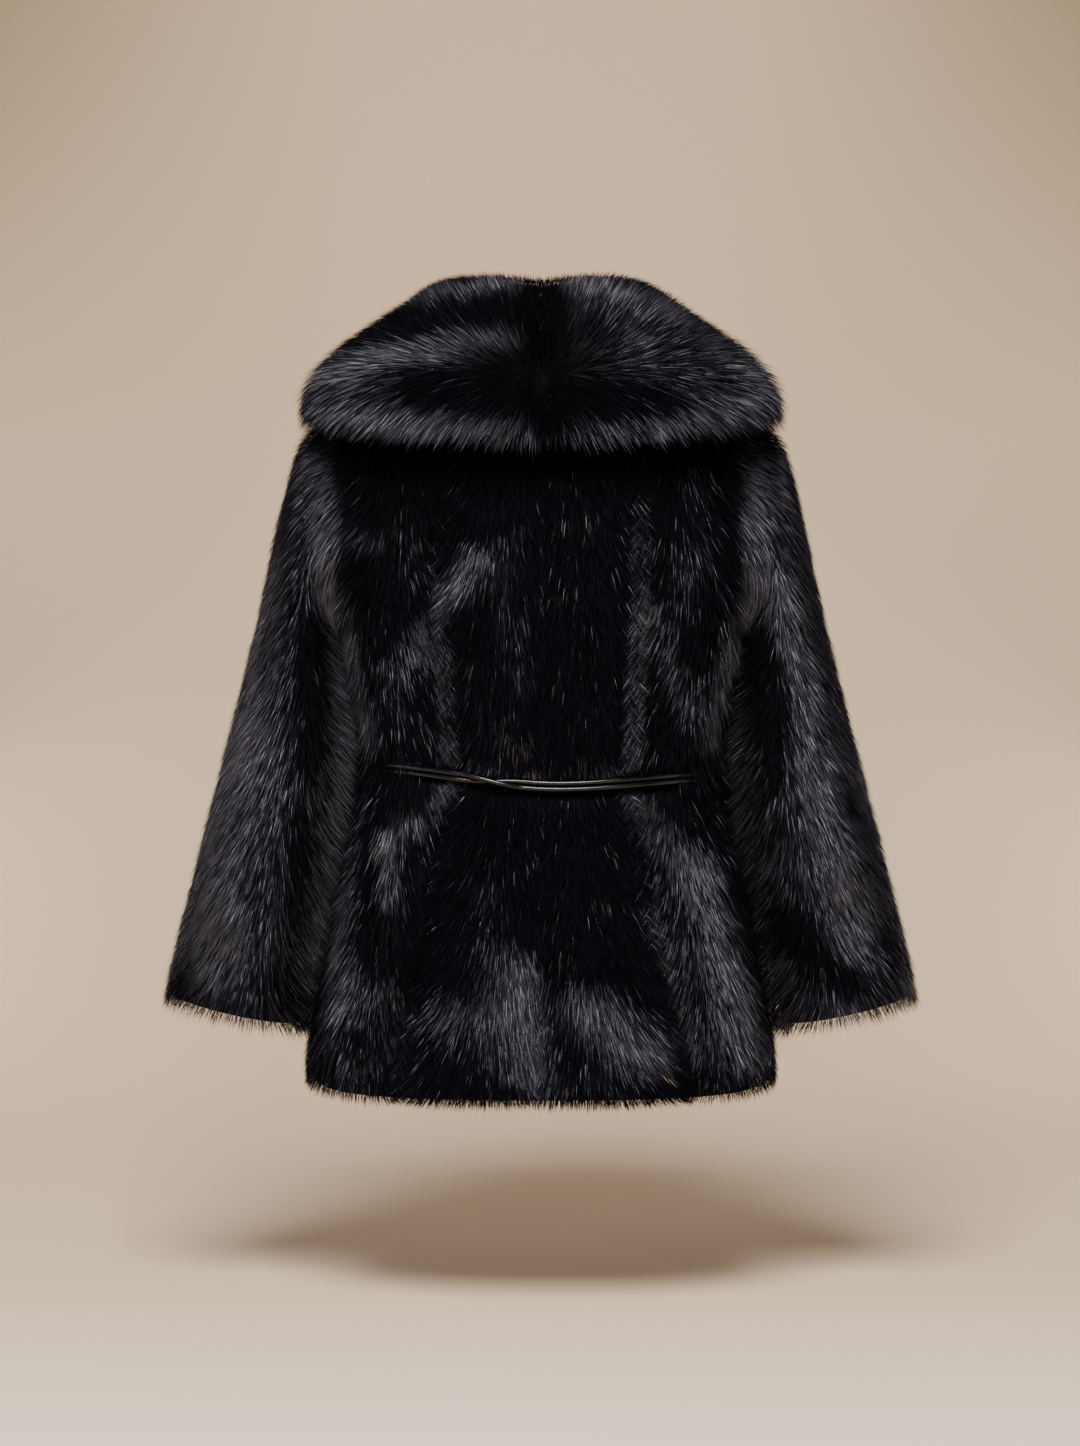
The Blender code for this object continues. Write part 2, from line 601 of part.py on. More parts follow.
def cord_object(name, points, finish):
    """A leather cord: a tube along these points."""
    curve = bpy.data.curves.new(name, "CURVE")
    curve.dimensions = "3D"
    curve.bevel_depth = CORD_RADIUS
    curve.bevel_resolution = 2
    curve.use_fill_caps = True
    line = curve.splines.new("POLY")
    line.points.add(len(points) - 1)
    for spot, point in zip(line.points, points):
        spot.co = (*point, 1)
    made = bpy.data.objects.new(name, curve)
    made.data.materials.append(finish)
    bpy.context.scene.collection.objects.link(made)


def belt_line(upper):
    """One cord of the belt, from the knot round the waist and back. The upper one crosses over the other."""
    points = []
    for k in range(BELT_STEPS + 1):
        turn = -BELT_END + 2 * BELT_END * k / BELT_STEPS
        floor = max(body_point(BELT_LEVEL + up, turn).xy.length for up in (-GROOVE_FLAT, GROOVE_FLAT))
        way = smooth(0.5 + (turn - CROSS_TURN) / CROSS_WIDTH)
        apart = (CORD_RADIUS + SEAM_GAP) * (2 * way - 1)
        z = body_point(BELT_LEVEL, turn).z
        out = CORD_RADIUS + CORD_CLEAR
        if upper:
            z += apart
            out += math.sqrt(max(0.0, (2 * CORD_RADIUS + 2 * SEAM_GAP) ** 2 - (1.9 * apart) ** 2))
        else:
            z -= apart
        angle = math.radians(turn)
        points.append(Vector(((floor + out) * math.sin(angle), (floor + out) * math.cos(angle), z)))
    return points


def build_belt(leather):
    cord_object("belt_upper", belt_line(True), leather)
    cord_object("belt_lower", belt_line(False), leather)
    front = body_point(BELT_LEVEL, 180.0)
    bm = bmesh.new()
    bmesh.ops.create_uvsphere(bm, u_segments=16, v_segments=10, radius=1)
    for vert in bm.verts:
        vert.co = Vector(a * b for a, b in zip(vert.co, KNOT_SIZE)) + front
        vert.co.y -= KNOT_SIZE[1] + CORD_CLEAR
    mesh = bpy.data.meshes.new("belt_knot")
    bm.to_mesh(mesh)
    bm.free()
    mesh.shade_smooth()
    knot = bpy.data.objects.new("belt_knot", mesh)
    knot.data.materials.append(leather)
    bpy.context.scene.collection.objects.link(knot)


def main():
    clear_scene()
    fur = material("fur", FUR_COLOUR, 0.55)
    leather = material("leather", LEATHER_COLOUR, 0.28)
    build_body(fur)
    build_sleeve(1, "sleeve_left", fur)
    build_sleeve(-1, "sleeve_right", fur)
    build_collar(1, "collar_left", fur)
    build_collar(-1, "collar_right", fur)
    build_belt(leather)


main()
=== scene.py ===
"""A woman's short black faux fur coat with a deep collar and a leather cord belt, filled out as when worn.

Metres, +Z up. The coat's back is on +Y, the wearer's left on +X, and the origin in the middle of the neck.
Each panel is a thin backing shell with fur grown on it, and both stand for the panel's solid in the frame.
"""

import math

import bmesh
import bpy
import numpy as np
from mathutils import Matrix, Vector
from mathutils.bvhtree import BVHTree


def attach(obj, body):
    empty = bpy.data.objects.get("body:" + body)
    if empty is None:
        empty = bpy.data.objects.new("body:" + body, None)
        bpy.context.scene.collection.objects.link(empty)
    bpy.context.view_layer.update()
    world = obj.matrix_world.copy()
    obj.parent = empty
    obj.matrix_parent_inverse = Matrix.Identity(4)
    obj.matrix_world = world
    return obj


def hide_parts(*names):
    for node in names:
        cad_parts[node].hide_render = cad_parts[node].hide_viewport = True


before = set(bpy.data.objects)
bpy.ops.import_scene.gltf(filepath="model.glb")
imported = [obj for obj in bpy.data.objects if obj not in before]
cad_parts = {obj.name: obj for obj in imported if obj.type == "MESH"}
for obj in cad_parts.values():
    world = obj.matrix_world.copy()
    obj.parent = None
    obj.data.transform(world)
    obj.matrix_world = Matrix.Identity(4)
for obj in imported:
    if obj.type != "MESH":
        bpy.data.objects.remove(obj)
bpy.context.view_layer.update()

# ---------------------------------------------------------------- sizes of the frame's solids
WALL = 0.016  # backing cloth and lying fur together
COLLAR_WALL, STAND_WALL, LAPEL_WALL = 0.020, 0.010, 0.0065
SEAM_GAP, CORNER_GAP = 0.0004, 0.0012
SNAP = 1e-6  # levels and turns closer than this are the same

EVEN_SHAPE = 2.35  # the power of the body's rounded cross-section
BELT_LEVEL = -0.4245
BELT_SAG = 0.0145  # how far the cords hang lower at the centre back than at the sides
BELT_TILT = 0.005  # how far they are higher at the wearer's left side
DIP_REACH = 0.12  # how far above and below the belt the cloth follows the cords' line
CORD_RADIUS = 0.0025
CORD_CLEAR = 0.0006  # from the cord to the fur that it presses down
GROOVE_FLAT, GROOVE_END = 0.0068, 0.020  # half heights of the groove that the belt presses into the fur
GROOVE_BACK, GROOVE_SIDE = 0.005, 0.009  # its depth at the back and at the sides
GROOVE_TURN, GROOVE_FADE = 0.62, 0.25  # the sine of the turn where it grows deeper, and over how much
FOLD_HOLD = 0.025  # the belt lets go of the folds over this height
BELT_END = 173.0  # the turn at which the cords reach the knot
CROSS_TURN = 24.0  # where one cord crosses over the other
CROSS_WIDTH = 30.0  # the turn over which the two cords change places
KNOT_SIZE = (0.013, 0.008, 0.010)  # half sizes of the knot

BODY_COLUMNS = ("level", "half_width", "back", "front", "back_drop", "front_drop", "back_seam", "front_edge")
BODY_ROWS = (
    (-0.747, 0.2360, 0.157, 0.150, 0.000, 0.000, 0.142, 180),
    (-0.680, 0.2300, 0.144, 0.143, 0.000, 0.000, 0.129, 180),
    (-0.600, 0.2140, 0.128, 0.134, 0.000, 0.000, 0.114, 180),
    (-0.520, 0.1985, 0.118, 0.126, 0.000, 0.000, 0.101, 180),
    (-0.460, 0.1870, 0.111, 0.119, 0.000, 0.000, 0.092, 180),
    (-0.4245, 0.1820, 0.105, 0.113, 0.000, 0.000, 0.087, 180),
    (-0.390, 0.1850, 0.109, 0.117, 0.000, 0.000, 0.088, 180),
    (-0.330, 0.1955, 0.119, 0.128, 0.000, 0.000, 0.092, 180),
    (-0.270, 0.2050, 0.128, 0.136, 0.000, 0.000, 0.095, 174),
    (-0.174, 0.2110, 0.133, 0.128, 0.004, 0.010, 0.098, 166),
    (-0.110, 0.2080, 0.130, 0.114, 0.012, 0.024, 0.099, 157),
    (-0.078, 0.2010, 0.124, 0.103, 0.022, 0.034, 0.094, 150),
    (-0.046, 0.1640, 0.110, 0.086, 0.026, 0.036, 0.078, 140),
    (-0.014, 0.1200, 0.091, 0.068, 0.018, 0.026, 0.058, 126),
    (0.006, 0.0900, 0.077, 0.056, 0.012, 0.018, 0.044, 112),
)
BODY_FOOT, BODY_TOP = BODY_ROWS[0][0], BODY_ROWS[-1][0]
ARMHOLE_TOP, ARMHOLE_FOOT = -0.078, -0.270
ARMHOLE_MIDDLE, ARMHOLE_HALF = (ARMHOLE_TOP + ARMHOLE_FOOT) / 2, (ARMHOLE_TOP - ARMHOLE_FOOT) / 2
ARMHOLE_TURN, ARMHOLE_STEPS = 24.0, 8  # the armhole's half width in degrees, and its levels
LOWER_LEVELS = (-0.747, -0.714, -0.680, -0.645, -0.610, -0.575, -0.540, -0.505, -0.470)
MIDDLE_LEVELS = (-0.375, -0.340, -0.305)
SHOULDER_LEVELS = (-0.066, -0.054, -0.042, -0.030, -0.018, -0.006, 0.006)
BACK_STEPS, SIDE_STEPS, FRONT_STEPS = 7, 6, 9

BACK, FRONT = 1, -1
# Each fold is (face, x and z of its start, x and z of its end, its reach to both sides, its rise).
BODY_FOLDS = (
    (BACK, 0.036, -0.195, 0.100, -0.318, 0.034, 0.010),
    (BACK, 0.085, -0.200, 0.125, -0.270, 0.036, -0.007),
    (BACK, 0.105, -0.172, 0.180, -0.204, 0.030, 0.006),
    (BACK, 0.134, -0.460, 0.154, -0.560, 0.034, 0.009),
    (BACK, 0.104, -0.480, 0.134, -0.600, 0.034, -0.009),
    (BACK, 0.150, -0.370, 0.152, -0.402, 0.028, 0.006),
    (BACK, -0.112, -0.480, -0.158, -0.640, 0.036, 0.008),
    (BACK, -0.156, -0.444, -0.170, -0.500, 0.026, -0.008),
    (BACK, -0.124, -0.600, -0.150, -0.710, 0.024, -0.008),
    (BACK, -0.148, -0.330, -0.150, -0.400, 0.034, 0.008),
    (BACK, -0.050, -0.630, -0.062, -0.700, 0.055, 0.007),
    (BACK, 0.074, -0.640, 0.094, -0.710, 0.050, 0.006),
    (BACK, 0.014, -0.640, 0.020, -0.730, 0.036, -0.005),
    (FRONT, 0.080, -0.460, 0.110, -0.640, 0.040, 0.008),
    (FRONT, 0.135, -0.470, 0.160, -0.600, 0.030, -0.006),
    (FRONT, -0.070, -0.455, -0.096, -0.660, 0.036, 0.007),
    (FRONT, -0.120, -0.480, -0.150, -0.640, 0.034, -0.007),
    (FRONT, 0.090, -0.400, 0.120, -0.320, 0.030, 0.006),
    (FRONT, -0.100, -0.400, -0.118, -0.310, 0.032, 0.006),
)
SLEEVE_FOLDS = (
    (BACK, -0.290, -0.420, -0.318, -0.520, 0.034, 0.006),
    (BACK, -0.262, -0.545, -0.330, -0.590, 0.030, -0.007),
    (BACK, -0.238, -0.330, -0.246, -0.420, 0.022, -0.006),
    (BACK, 0.235, -0.330, 0.250, -0.440, 0.022, -0.005),
    (BACK, 0.300, -0.400, 0.312, -0.560, 0.040, 0.005),
    (FRONT, 0.255, -0.350, 0.300, -0.420, 0.026, -0.006),
    (FRONT, -0.252, -0.350, -0.304, -0.430, 0.026, -0.006),
    (FRONT, 0.290, -0.470, 0.320, -0.560, 0.036, 0.005),
    (FRONT, -0.290, -0.470, -0.316, -0.560, 0.036, 0.005),
)
COLLAR_FOLDS = (
    (BACK, 0.012, 0.002, 0.150, -0.004, 0.020, -0.008),
    (BACK, 0.010, -0.026, 0.190, -0.032, 0.024, 0.005),
    (BACK, 0.000, 0.000, 0.000, -0.100, 0.020, -0.006),
)
SLEEVE_COLUMNS = ("outer_x", "outer_z", "inner_x", "inner_z", "depth", "middle_y")
SLEEVE_ROWS = (
    (0.2020, -0.078, 0.2060, -0.270, 0.082, 0.002),
    (0.2260, -0.084, 0.2085, -0.280, 0.084, 0.002),
    (0.2420, -0.106, 0.2095, -0.290, 0.085, 0.001),
    (0.2580, -0.160, 0.2085, -0.304, 0.085, 0.000),
    (0.2790, -0.256, 0.2015, -0.340, 0.084, -0.001),
    (0.3020, -0.352, 0.1925, -0.400, 0.082, -0.002),
    (0.3300, -0.460, 0.1975, -0.485, 0.080, -0.003),
    (0.3580, -0.570, 0.2175, -0.592, 0.078, -0.004),
    (0.3740, -0.640, 0.2335, -0.668, 0.077, -0.005),
    (0.3740, -0.652, 0.2365, -0.680, 0.076, -0.005),
)
COLLAR_COLUMNS = ("share", "roll_x", "roll_y", "roll_z", "edge_x", "edge_y", "edge_z")
COLLAR_ROWS = (
    (0.00, 0.000, 0.094, 0.050, 0.000, 0.174, -0.124),
    (0.12, 0.044, 0.084, 0.056, 0.088, 0.170, -0.121),
    (0.24, 0.086, 0.040, 0.058, 0.186, 0.140, -0.108),
    (0.34, 0.094, -0.018, 0.045, 0.234, 0.078, -0.084),
    (0.43, 0.090, -0.062, 0.021, 0.238, -0.002, -0.080),
    (0.485, 0.080, -0.080, 0.000, 0.238, -0.052, -0.088),
    (0.54, 0.066, -0.096, -0.026, 0.220, -0.088, -0.128),
    (0.68, 0.0400, -0.123, -0.100, 0.182, -0.112, -0.192),
    (0.84, 0.0200, -0.140, -0.180, 0.134, -0.144, -0.258),
    (1.00, 0.0040, -0.144, -0.260, 0.084, -0.156, -0.292),
)
COLLAR_FOOT = 1  # the armhole level at which the lapel ends
COLLAR_SPAN = 9  # steps from the neck seam to the collar's edge
COLLAR_FINER = 3  # how much finer the backing's grid is than the solid's
ROLL_SHARE = 0.38  # the share of the way at which the collar rolls over
COLLAR_CLEAR, CLEAR_REACH = 0.005, 0.04  # from the collar to the cloth below it, looked for within this reach
SHOULDER_FULL = 0.020  # how far the collar stands out at the shoulder
SHOULDER_SHARE, LAPEL_SHARE, LAPEL_FADE = 0.22, 0.56, 0.20  # where along the neckline shoulder and lapel start
STAND_PULLS = (0.4, 0.35)  # how the stand's curve is pulled at its foot and at the roll, as shares of its rise
LEAST_AHEAD = 0.024  # how far the collar at least goes straight on after the roll
# The collar's curve down from the roll: each has its value at the back, and what is added at the shoulder
ROLL_PULL, EDGE_PULL, EDGE_HANG = (0.22, -0.14), (0.30, 0.16), (0.85, 0.40)
FULLEST = 9.48  # makes the highest point of t**3 * (1 - t) 1
HEM_CORNER, HEM_POWER = 0.010, 16  # how much higher the backing ends at the side seams, and how suddenly
SLEEVE_SET = 0.22  # the share of the sleeve over which it is drawn to the armhole

# ---------------------------------------------------------------- the fur
# Painted sheen and shade on the fur, as lines like the folds. The rise is over 0 where sheen is painted as
# lighter, shinier hairs, and under 0 where shade is painted as darker, duller ones.
BODY_SHEEN_AND_SHADE = (
    (BACK, 0.160, -0.146, 0.100, -0.150, 0.042, -0.7),
    (BACK, 0.165, -0.225, 0.146, -0.270, 0.028, -0.6),
    (BACK, 0.060, -0.150, -0.060, -0.150, 0.040, -0.4),
    (BACK, 0.075, -0.470, -0.060, -0.480, 0.046, -0.6),
    (BACK, 0.196, -0.676, 0.150, -0.700, 0.024, -0.6),
    (BACK, -0.176, -0.140, -0.172, -0.166, 0.028, -0.4),
    (BACK, 0.206, -0.095, 0.206, -0.185, 0.024, 1.6),
    (BACK, 0.206, -0.185, 0.192, -0.300, 0.022, 1.7),
    (BACK, 0.192, -0.300, 0.172, -0.385, 0.024, 1.5),
    (BACK, 0.056, -0.210, 0.116, -0.290, 0.020, 1.6),
    (BACK, 0.116, -0.290, 0.151, -0.330, 0.018, 1.1),
    (BACK, 0.150, -0.205, 0.172, -0.188, 0.014, 0.7),
    (BACK, 0.099, -0.295, 0.090, -0.405, 0.013, 1.3),
    (BACK, 0.036, -0.200, 0.040, -0.280, 0.014, 0.35),
    (BACK, -0.019, -0.121, -0.026, -0.395, 0.050, -0.6),
    (BACK, -0.099, -0.240, -0.089, -0.405, 0.015, 1.4),
    (BACK, -0.109, -0.265, -0.152, -0.365, 0.014, 1.1),
    (BACK, -0.092, -0.160, -0.096, -0.240, 0.016, 0.6),
    (BACK, -0.199, -0.095, -0.206, -0.195, 0.024, 1.6),
    (BACK, -0.206, -0.195, -0.188, -0.300, 0.022, 1.6),
    (BACK, -0.188, -0.300, -0.165, -0.385, 0.022, 1.5),
    (BACK, -0.150, -0.130, -0.140, -0.250, 0.024, 0.3),
    (BACK, 0.084, -0.432, 0.150, -0.490, 0.015, 1.4),
    (BACK, 0.150, -0.490, 0.146, -0.545, 0.018, 1.2),
    (BACK, 0.186, -0.460, 0.198, -0.680, 0.024, 1.1),
    (BACK, 0.064, -0.420, -0.070, -0.420, 0.010, 0.8),
    (BACK, 0.020, -0.490, -0.040, -0.580, 0.060, -0.7),
    (BACK, 0.100, -0.540, 0.120, -0.600, 0.026, -0.5),
    (BACK, -0.089, -0.445, -0.150, -0.520, 0.024, 1.4),
    (BACK, -0.150, -0.520, -0.196, -0.690, 0.040, 1.5),
    (BACK, -0.112, -0.560, -0.150, -0.690, 0.016, 1.1),
    (BACK, -0.138, -0.448, -0.156, -0.480, 0.014, -0.8),
    (BACK, 0.170, -0.640, 0.060, -0.655, 0.036, 0.75),
    (BACK, 0.026, -0.612, 0.015, -0.702, 0.046, 1.2),
    (BACK, -0.040, -0.640, -0.100, -0.690, 0.036, 1.4),
    (BACK, 0.150, -0.690, 0.180, -0.700, 0.030, 0.9),
    (BACK, 0.130, -0.620, 0.110, -0.650, 0.018, -0.9),
    (BACK, 0.037, -0.722, 0.085, -0.728, 0.018, -0.8),
    (BACK, -0.110, -0.722, -0.150, -0.726, 0.014, -0.6),
    (FRONT, 0.080, -0.470, 0.110, -0.640, 0.040, 1.1),
    (FRONT, 0.150, -0.400, 0.170, -0.680, 0.018, 1),
    (FRONT, -0.075, -0.480, -0.100, -0.660, 0.036, 1.1),
    (FRONT, -0.160, -0.420, -0.180, -0.660, 0.020, 1),
    (FRONT, 0.100, -0.280, 0.130, -0.400, 0.024, 1.1),
    (FRONT, -0.090, -0.270, -0.110, -0.400, 0.022, 1.2),
    (FRONT, 0.190, -0.120, 0.196, -0.330, 0.018, 1),
    (FRONT, -0.190, -0.120, -0.196, -0.330, 0.018, 1),
    (FRONT, 0.040, -0.700, -0.060, -0.690, 0.034, 1),
)
SLEEVE_SHEEN_AND_SHADE = (
    (BACK, 0.280, -0.240, 0.300, -0.400, 0.056, 0.9),
    (BACK, 0.300, -0.400, 0.320, -0.580, 0.075, 0.9),
    (BACK, 0.262, -0.140, 0.268, -0.240, 0.026, 0.5),
    (BACK, 0.228, -0.275, 0.226, -0.400, 0.018, -0.8),
    (BACK, 0.206, -0.100, 0.206, -0.250, 0.024, 1.4),
    (BACK, 0.205, -0.250, 0.196, -0.420, 0.022, 1.4),
    (BACK, 0.196, -0.420, 0.230, -0.620, 0.026, 1),
    (BACK, 0.350, -0.615, 0.360, -0.640, 0.018, -0.8),
    (BACK, 0.236, -0.455, 0.240, -0.560, 0.018, -0.5),
    (BACK, -0.199, -0.095, -0.209, -0.250, 0.022, 1.4),
    (BACK, -0.205, -0.250, -0.196, -0.340, 0.016, 1),
    (BACK, -0.229, -0.225, -0.262, -0.375, 0.020, 1.1),
    (BACK, -0.250, -0.110, -0.262, -0.200, 0.018, 0.5),
    (BACK, -0.218, -0.290, -0.232, -0.430, 0.022, -0.8),
    (BACK, -0.262, -0.415, -0.306, -0.590, 0.038, 1.2),
    (BACK, -0.300, -0.270, -0.330, -0.500, 0.018, 0.5),
    (BACK, -0.286, -0.420, -0.300, -0.480, 0.012, -0.4),
    (BACK, -0.236, -0.560, -0.300, -0.620, 0.026, -1),
    (BACK, -0.320, -0.590, -0.350, -0.600, 0.020, -0.8),
    (BACK, -0.262, -0.650, -0.300, -0.655, 0.016, 0.6),
    (BACK, -0.352, -0.620, -0.360, -0.640, 0.016, 0.8),
    (FRONT, 0.262, -0.200, 0.300, -0.400, 0.044, 0.8),
    (FRONT, 0.240, -0.430, 0.290, -0.520, 0.034, -0.7),
    (FRONT, -0.262, -0.220, -0.296, -0.400, 0.040, 0.8),
    (FRONT, -0.250, -0.440, -0.310, -0.480, 0.030, -0.7),
    (FRONT, 0.300, -0.580, 0.340, -0.610, 0.030, 0.6),
    (FRONT, -0.280, -0.590, -0.330, -0.600, 0.034, 0.6),
)
COLLAR_SHEEN_AND_SHADE = (
    (BACK, 0.205, -0.036, 0.020, -0.020, 0.014, 1.1),
    (BACK, 0.170, 0.002, 0.005, 0.006, 0.019, -1.1),
    (BACK, 0.120, 0.032, 0.015, 0.038, 0.015, 0.8),
    (BACK, 0.000, 0.028, -0.005, -0.082, 0.026, -1.4),
    (BACK, 0.110, -0.054, 0.010, -0.056, 0.018, -1.0),
    (BACK, 0.170, -0.050, 0.205, -0.062, 0.022, 0.6),
    (BACK, 0.190, -0.076, 0.010, -0.096, 0.018, 1.2),
    (BACK, -0.020, -0.098, -0.100, -0.094, 0.018, 0.6),
    (BACK, -0.110, -0.090, -0.195, -0.062, 0.016, 0.9),
    (BACK, -0.030, 0.038, -0.120, 0.014, 0.026, 0.9),
    (BACK, -0.070, -0.022, -0.110, -0.026, 0.030, 0.3),
    (BACK, -0.020, -0.064, -0.110, -0.068, 0.017, -0.9),
    (BACK, -0.150, -0.010, -0.210, -0.046, 0.026, 0.7),
    (FRONT, 0.120, -0.110, 0.160, -0.180, 0.030, 0.8),
    (FRONT, 0.070, -0.130, 0.080, -0.210, 0.024, -0.7),
    (FRONT, -0.130, -0.100, -0.170, -0.160, 0.030, 0.8),
    (FRONT, -0.080, -0.120, -0.090, -0.200, 0.024, -0.7),
    (FRONT, 0.200, -0.050, 0.220, -0.080, 0.030, 0.5),
    (FRONT, -0.200, -0.050, -0.220, -0.080, 0.030, 0.5),
)
ROOT_DEPTH = 0.38  # how far into the wall the fur is rooted, as a share of the wall
HEM_FRINGE = 0.010  # how far the fur hangs below the backing at the hem
TRIM_LEVEL, TRIM_REACH = -0.64, 0.107  # the backing is drawn up for the fringe from here to the hem
WIDE_STEP = 0.02  # levels of the backing further apart than this get one more between them
BODY_FUR, SLEEVE_FUR, COLLAR_FUR, STAND_FUR = 0.0215, 0.0215, 0.029, 0.014  # strand lengths
BODY_LIFT, SLEEVE_LIFT = 19.0, 19.0  # degrees off the backing
# Where sleeve and body lie together the fur is longer, stands higher and is rooted less deep
SEAM_FUR, SEAM_LIFT, SEAM_DEPTH = 0.30, 20, 0.85
BODY_BESIDE = 16  # degrees from the body's side seam
SLEEVE_BESIDE = (118, 40)  # degrees round the sleeve, from here over this many
BESIDE_FOOT, BESIDE_FADE = -0.62, 0.1  # from this level up
# Near the ends the fur is shorter, flatter and closer
HEM_LEVEL, HEM_REACH, CUFF_SHARE, CUFF_REACH = -0.70, 0.035, 0.90, 0.07
CUFF_FUR, CUFF_LIFT, HEM_FUR, EDGE_DENSITY = 0.42, 0.4, 0.35, 1.2
BELT_HIDDEN = {1: 0.825, -1: 0.845}  # the sine of the turn to each side where fur starts to hide the belt
BELT_TIPS = (0.004, 0.024)  # the fur is shorter above the belt, from here over this height
FAN_LEVEL, FAN_BAND = -0.050, 0.012  # the collar's fur fans out from a band of this half height at its centre
FAN_RISE, FAN_SPREAD = 0.045, 0.010  # how much steeper the fur fans above the band, and wider beside it
FALL_SHARE, FALL_FADE = 0.62, 0.36  # the share of the collar's way down at which its fur starts to hang
FREE_SHARE, FREE_FADE = 0.82, 0.09  # and at which there is no cloth below for it to lie on
TIPS_OUT = 0.004  # how far the tips of the collar's fur stand out over the solid's face
# At the centre back the collar's fur stands out within this reach, shorter and higher, so its ends are seen
STANDING_REACH, STANDING_SHORTER, STANDING_LIFT = 0.040, 0.45, 40
STRANDS = {"back": 37000, "side": 37000, "front": 44000, "sleeve": 64000, "collar": 42000}
PANEL_PAINTED_SHADE = {"back": 0.50, "side": 0.50, "front": 0.50, "sleeve": 0.0, "collar": 0.20}  # painted shade away from the lines: the body and collar darker than the sleeves
PAINTED_LIGHT_FADE = 0.05  # the lines of painted sheen and shade fade out this near to the side seams
SHADE_LIMITS = (0.30, 0.62, 0.95)  # the shades at which one finish of the fur gives way to the next
SHADE_POWER, TOP_SHADE = 1.2, 0.93  # most hairs are dark, and this is the lightest that isn't brown
SHADE_RANGE, SHINE_RANGE = 0.52, 0.20  # how far neighbours' shades differ, and how much more where sheen is painted
SHADE_BASE, SHINE_BASE = 0.07, 0.32  # the darkest shade, and how much lighter it is where sheen is painted
STRAY_SHADES = (0.40, 0.72)
BROWN_SHARE, BROWN_MORE = 0.003, 3.0  # of the hairs, and how many times FUR_INPUTS' share more in the patches
BROWN_PATCH = 0.68  # noise over this is a patch
STRAND_LENGTHS, STRAND_WIDTHS = (0.68, 1.14), (0.65, 1.15)  # as shares of the length and width given
LIFT_CHANCE = 0.16  # radians up or down
# How fine the fur's patterns are, as the scales of their noise
SWIRL_SCALE, TANGLE_SCALE, HAIR_SCALE, LIFT_SCALE = 17.0, 95.0, 900.0, 24.0
LOCK_SCALE, PATCH_SCALE, BROWN_SCALE = 105.0, 21.0, 34.0
# The finishes are darker and lighter copies of the black fur: by chance and by the painted sheen and shade, the
# dull undercoat stands where shade is painted and the shining silver where sheen is painted
FUR_FINISHES = {  # name: (specular, roughness, specular tint), (colours of its lowest and highest shade)
    "fur_undercoat": ((0.07, 0.66, (0.70, 0.68, 1.0)), ((0.0008, 0.0007, 0.0014), (0.0020, 0.0018, 0.0032))),
    "fur_guard": ((0.36, 0.44, (0.82, 0.82, 1.0)), ((0.0024, 0.0022, 0.0032), (0.018, 0.0165, 0.0225))),
    "fur_silver": ((0.52, 0.44, (0.86, 0.86, 1.0)), ((0.020, 0.0185, 0.0243), (0.058, 0.0535, 0.066))),
    "fur_brown": ((0.40, 0.44, (1.0, 0.95, 0.88)), ((0.028, 0.022, 0.017), (0.052, 0.041, 0.031))),
}
FUR_INPUTS = {
    "Strands": 200000.0,  # to the square metre
    "Width": 0.00056,
    "Swirl": 0.34,
    "Tangle": 0.13,
    "Clump": 3.5,
    "Roll": 1.0,
    "Lift waves": 0.35,
    "Patches": 0.8,
    "Strays": 0.010,
    "Brown": 0.035,
}
BODY_PANELS = {  # kind: (face, columns, the fur's lean across it as (share of its width, degrees) stops)
    "back": (BACK, 12, ((0, -14), (0.45, 0), (0.75, 16), (1, 44))),
    "side": (BACK, 12, ((0, -44), (0.2, -24), (0.5, -4), (0.75, 10), (1, 44))),
    "front": (FRONT, 18, ((0, -22), (0.3, -4), (0.7, 6), (1, 12))),
}
SLEEVE_LEANS = ((0, 0), (50, -14), (95, -10), (112, 4), (140, 38), (165, 30), (180, 0))  # (turn, lean) stops
SLEEVE_GRID, SLEEVE_END = (34, 40), 0.980  # rows and columns, and the share at which the backing ends
SIDES = {"left": 1, "right": -1}


# ---------------------------------------------------------------- the form of the solids
def smooth(share):
    """0 to 1 with level ends."""
    share = min(max(share, 0.0), 1.0)
    return share * share * (3 - 2 * share)


def between(share, stops):
    """A value at this share, straight between the (share, value) stops."""
    return float(np.interp(share, [s for s, _ in stops], [v for _, v in stops]))


def curve_point(rows, i, share):
    """A point of the Catmull-Rom curve through the rows, at this share of the way from row i to the next."""
    before, start, end, after = (rows[min(max(k, 0), len(rows) - 1)] for k in range(i - 1, i + 3))
    weights = (
        -share + 2 * share**2 - share**3,
        2 - 5 * share**2 + 3 * share**3,
        share + 4 * share**2 - 3 * share**3,
        -(share**2) + share**3,
    )
    return [sum(w * v for w, v in zip(weights, values)) / 2 for values in zip(before, start, end, after)]


def along(rows, value):
    """The row of a table at this value of its first column, on a smooth curve through its rows."""
    keys = [row[0] for row in rows]
    value = min(max(value, keys[0]), keys[-1])
    i = max(k for k in range(len(rows) - 1) if keys[k] <= value)
    return curve_point(rows, i, (value - keys[i]) / (keys[i + 1] - keys[i]))


def body_level(level):
    """The body's sizes at this level."""
    return dict(zip(BODY_COLUMNS, along(BODY_ROWS, level)))


def fold_rise(folds, face, x, z):
    """How far the folds push the cloth out at a point seen from behind or from the front."""
    total = 0.0
    for fold_face, start_x, start_z, end_x, end_z, reach, rise in folds:
        if fold_face != face:
            continue
        dx, dz = end_x - start_x, end_z - start_z
        share = ((x - start_x) * dx + (z - start_z) * dz) / (dx * dx + dz * dz)
        share = min(max(share, 0.0), 1.0)
        away = math.hypot(x - start_x - share * dx, z - start_z - share * dz)
        total += rise * smooth(1 - away / reach)
    return total


def belt_dip(turn):
    """How far the belt's line is above its level at this turn from the centre back."""
    angle = math.radians(turn)
    return -BELT_SAG * max(math.cos(angle), 0.0) ** 2 + BELT_TILT * math.sin(angle)


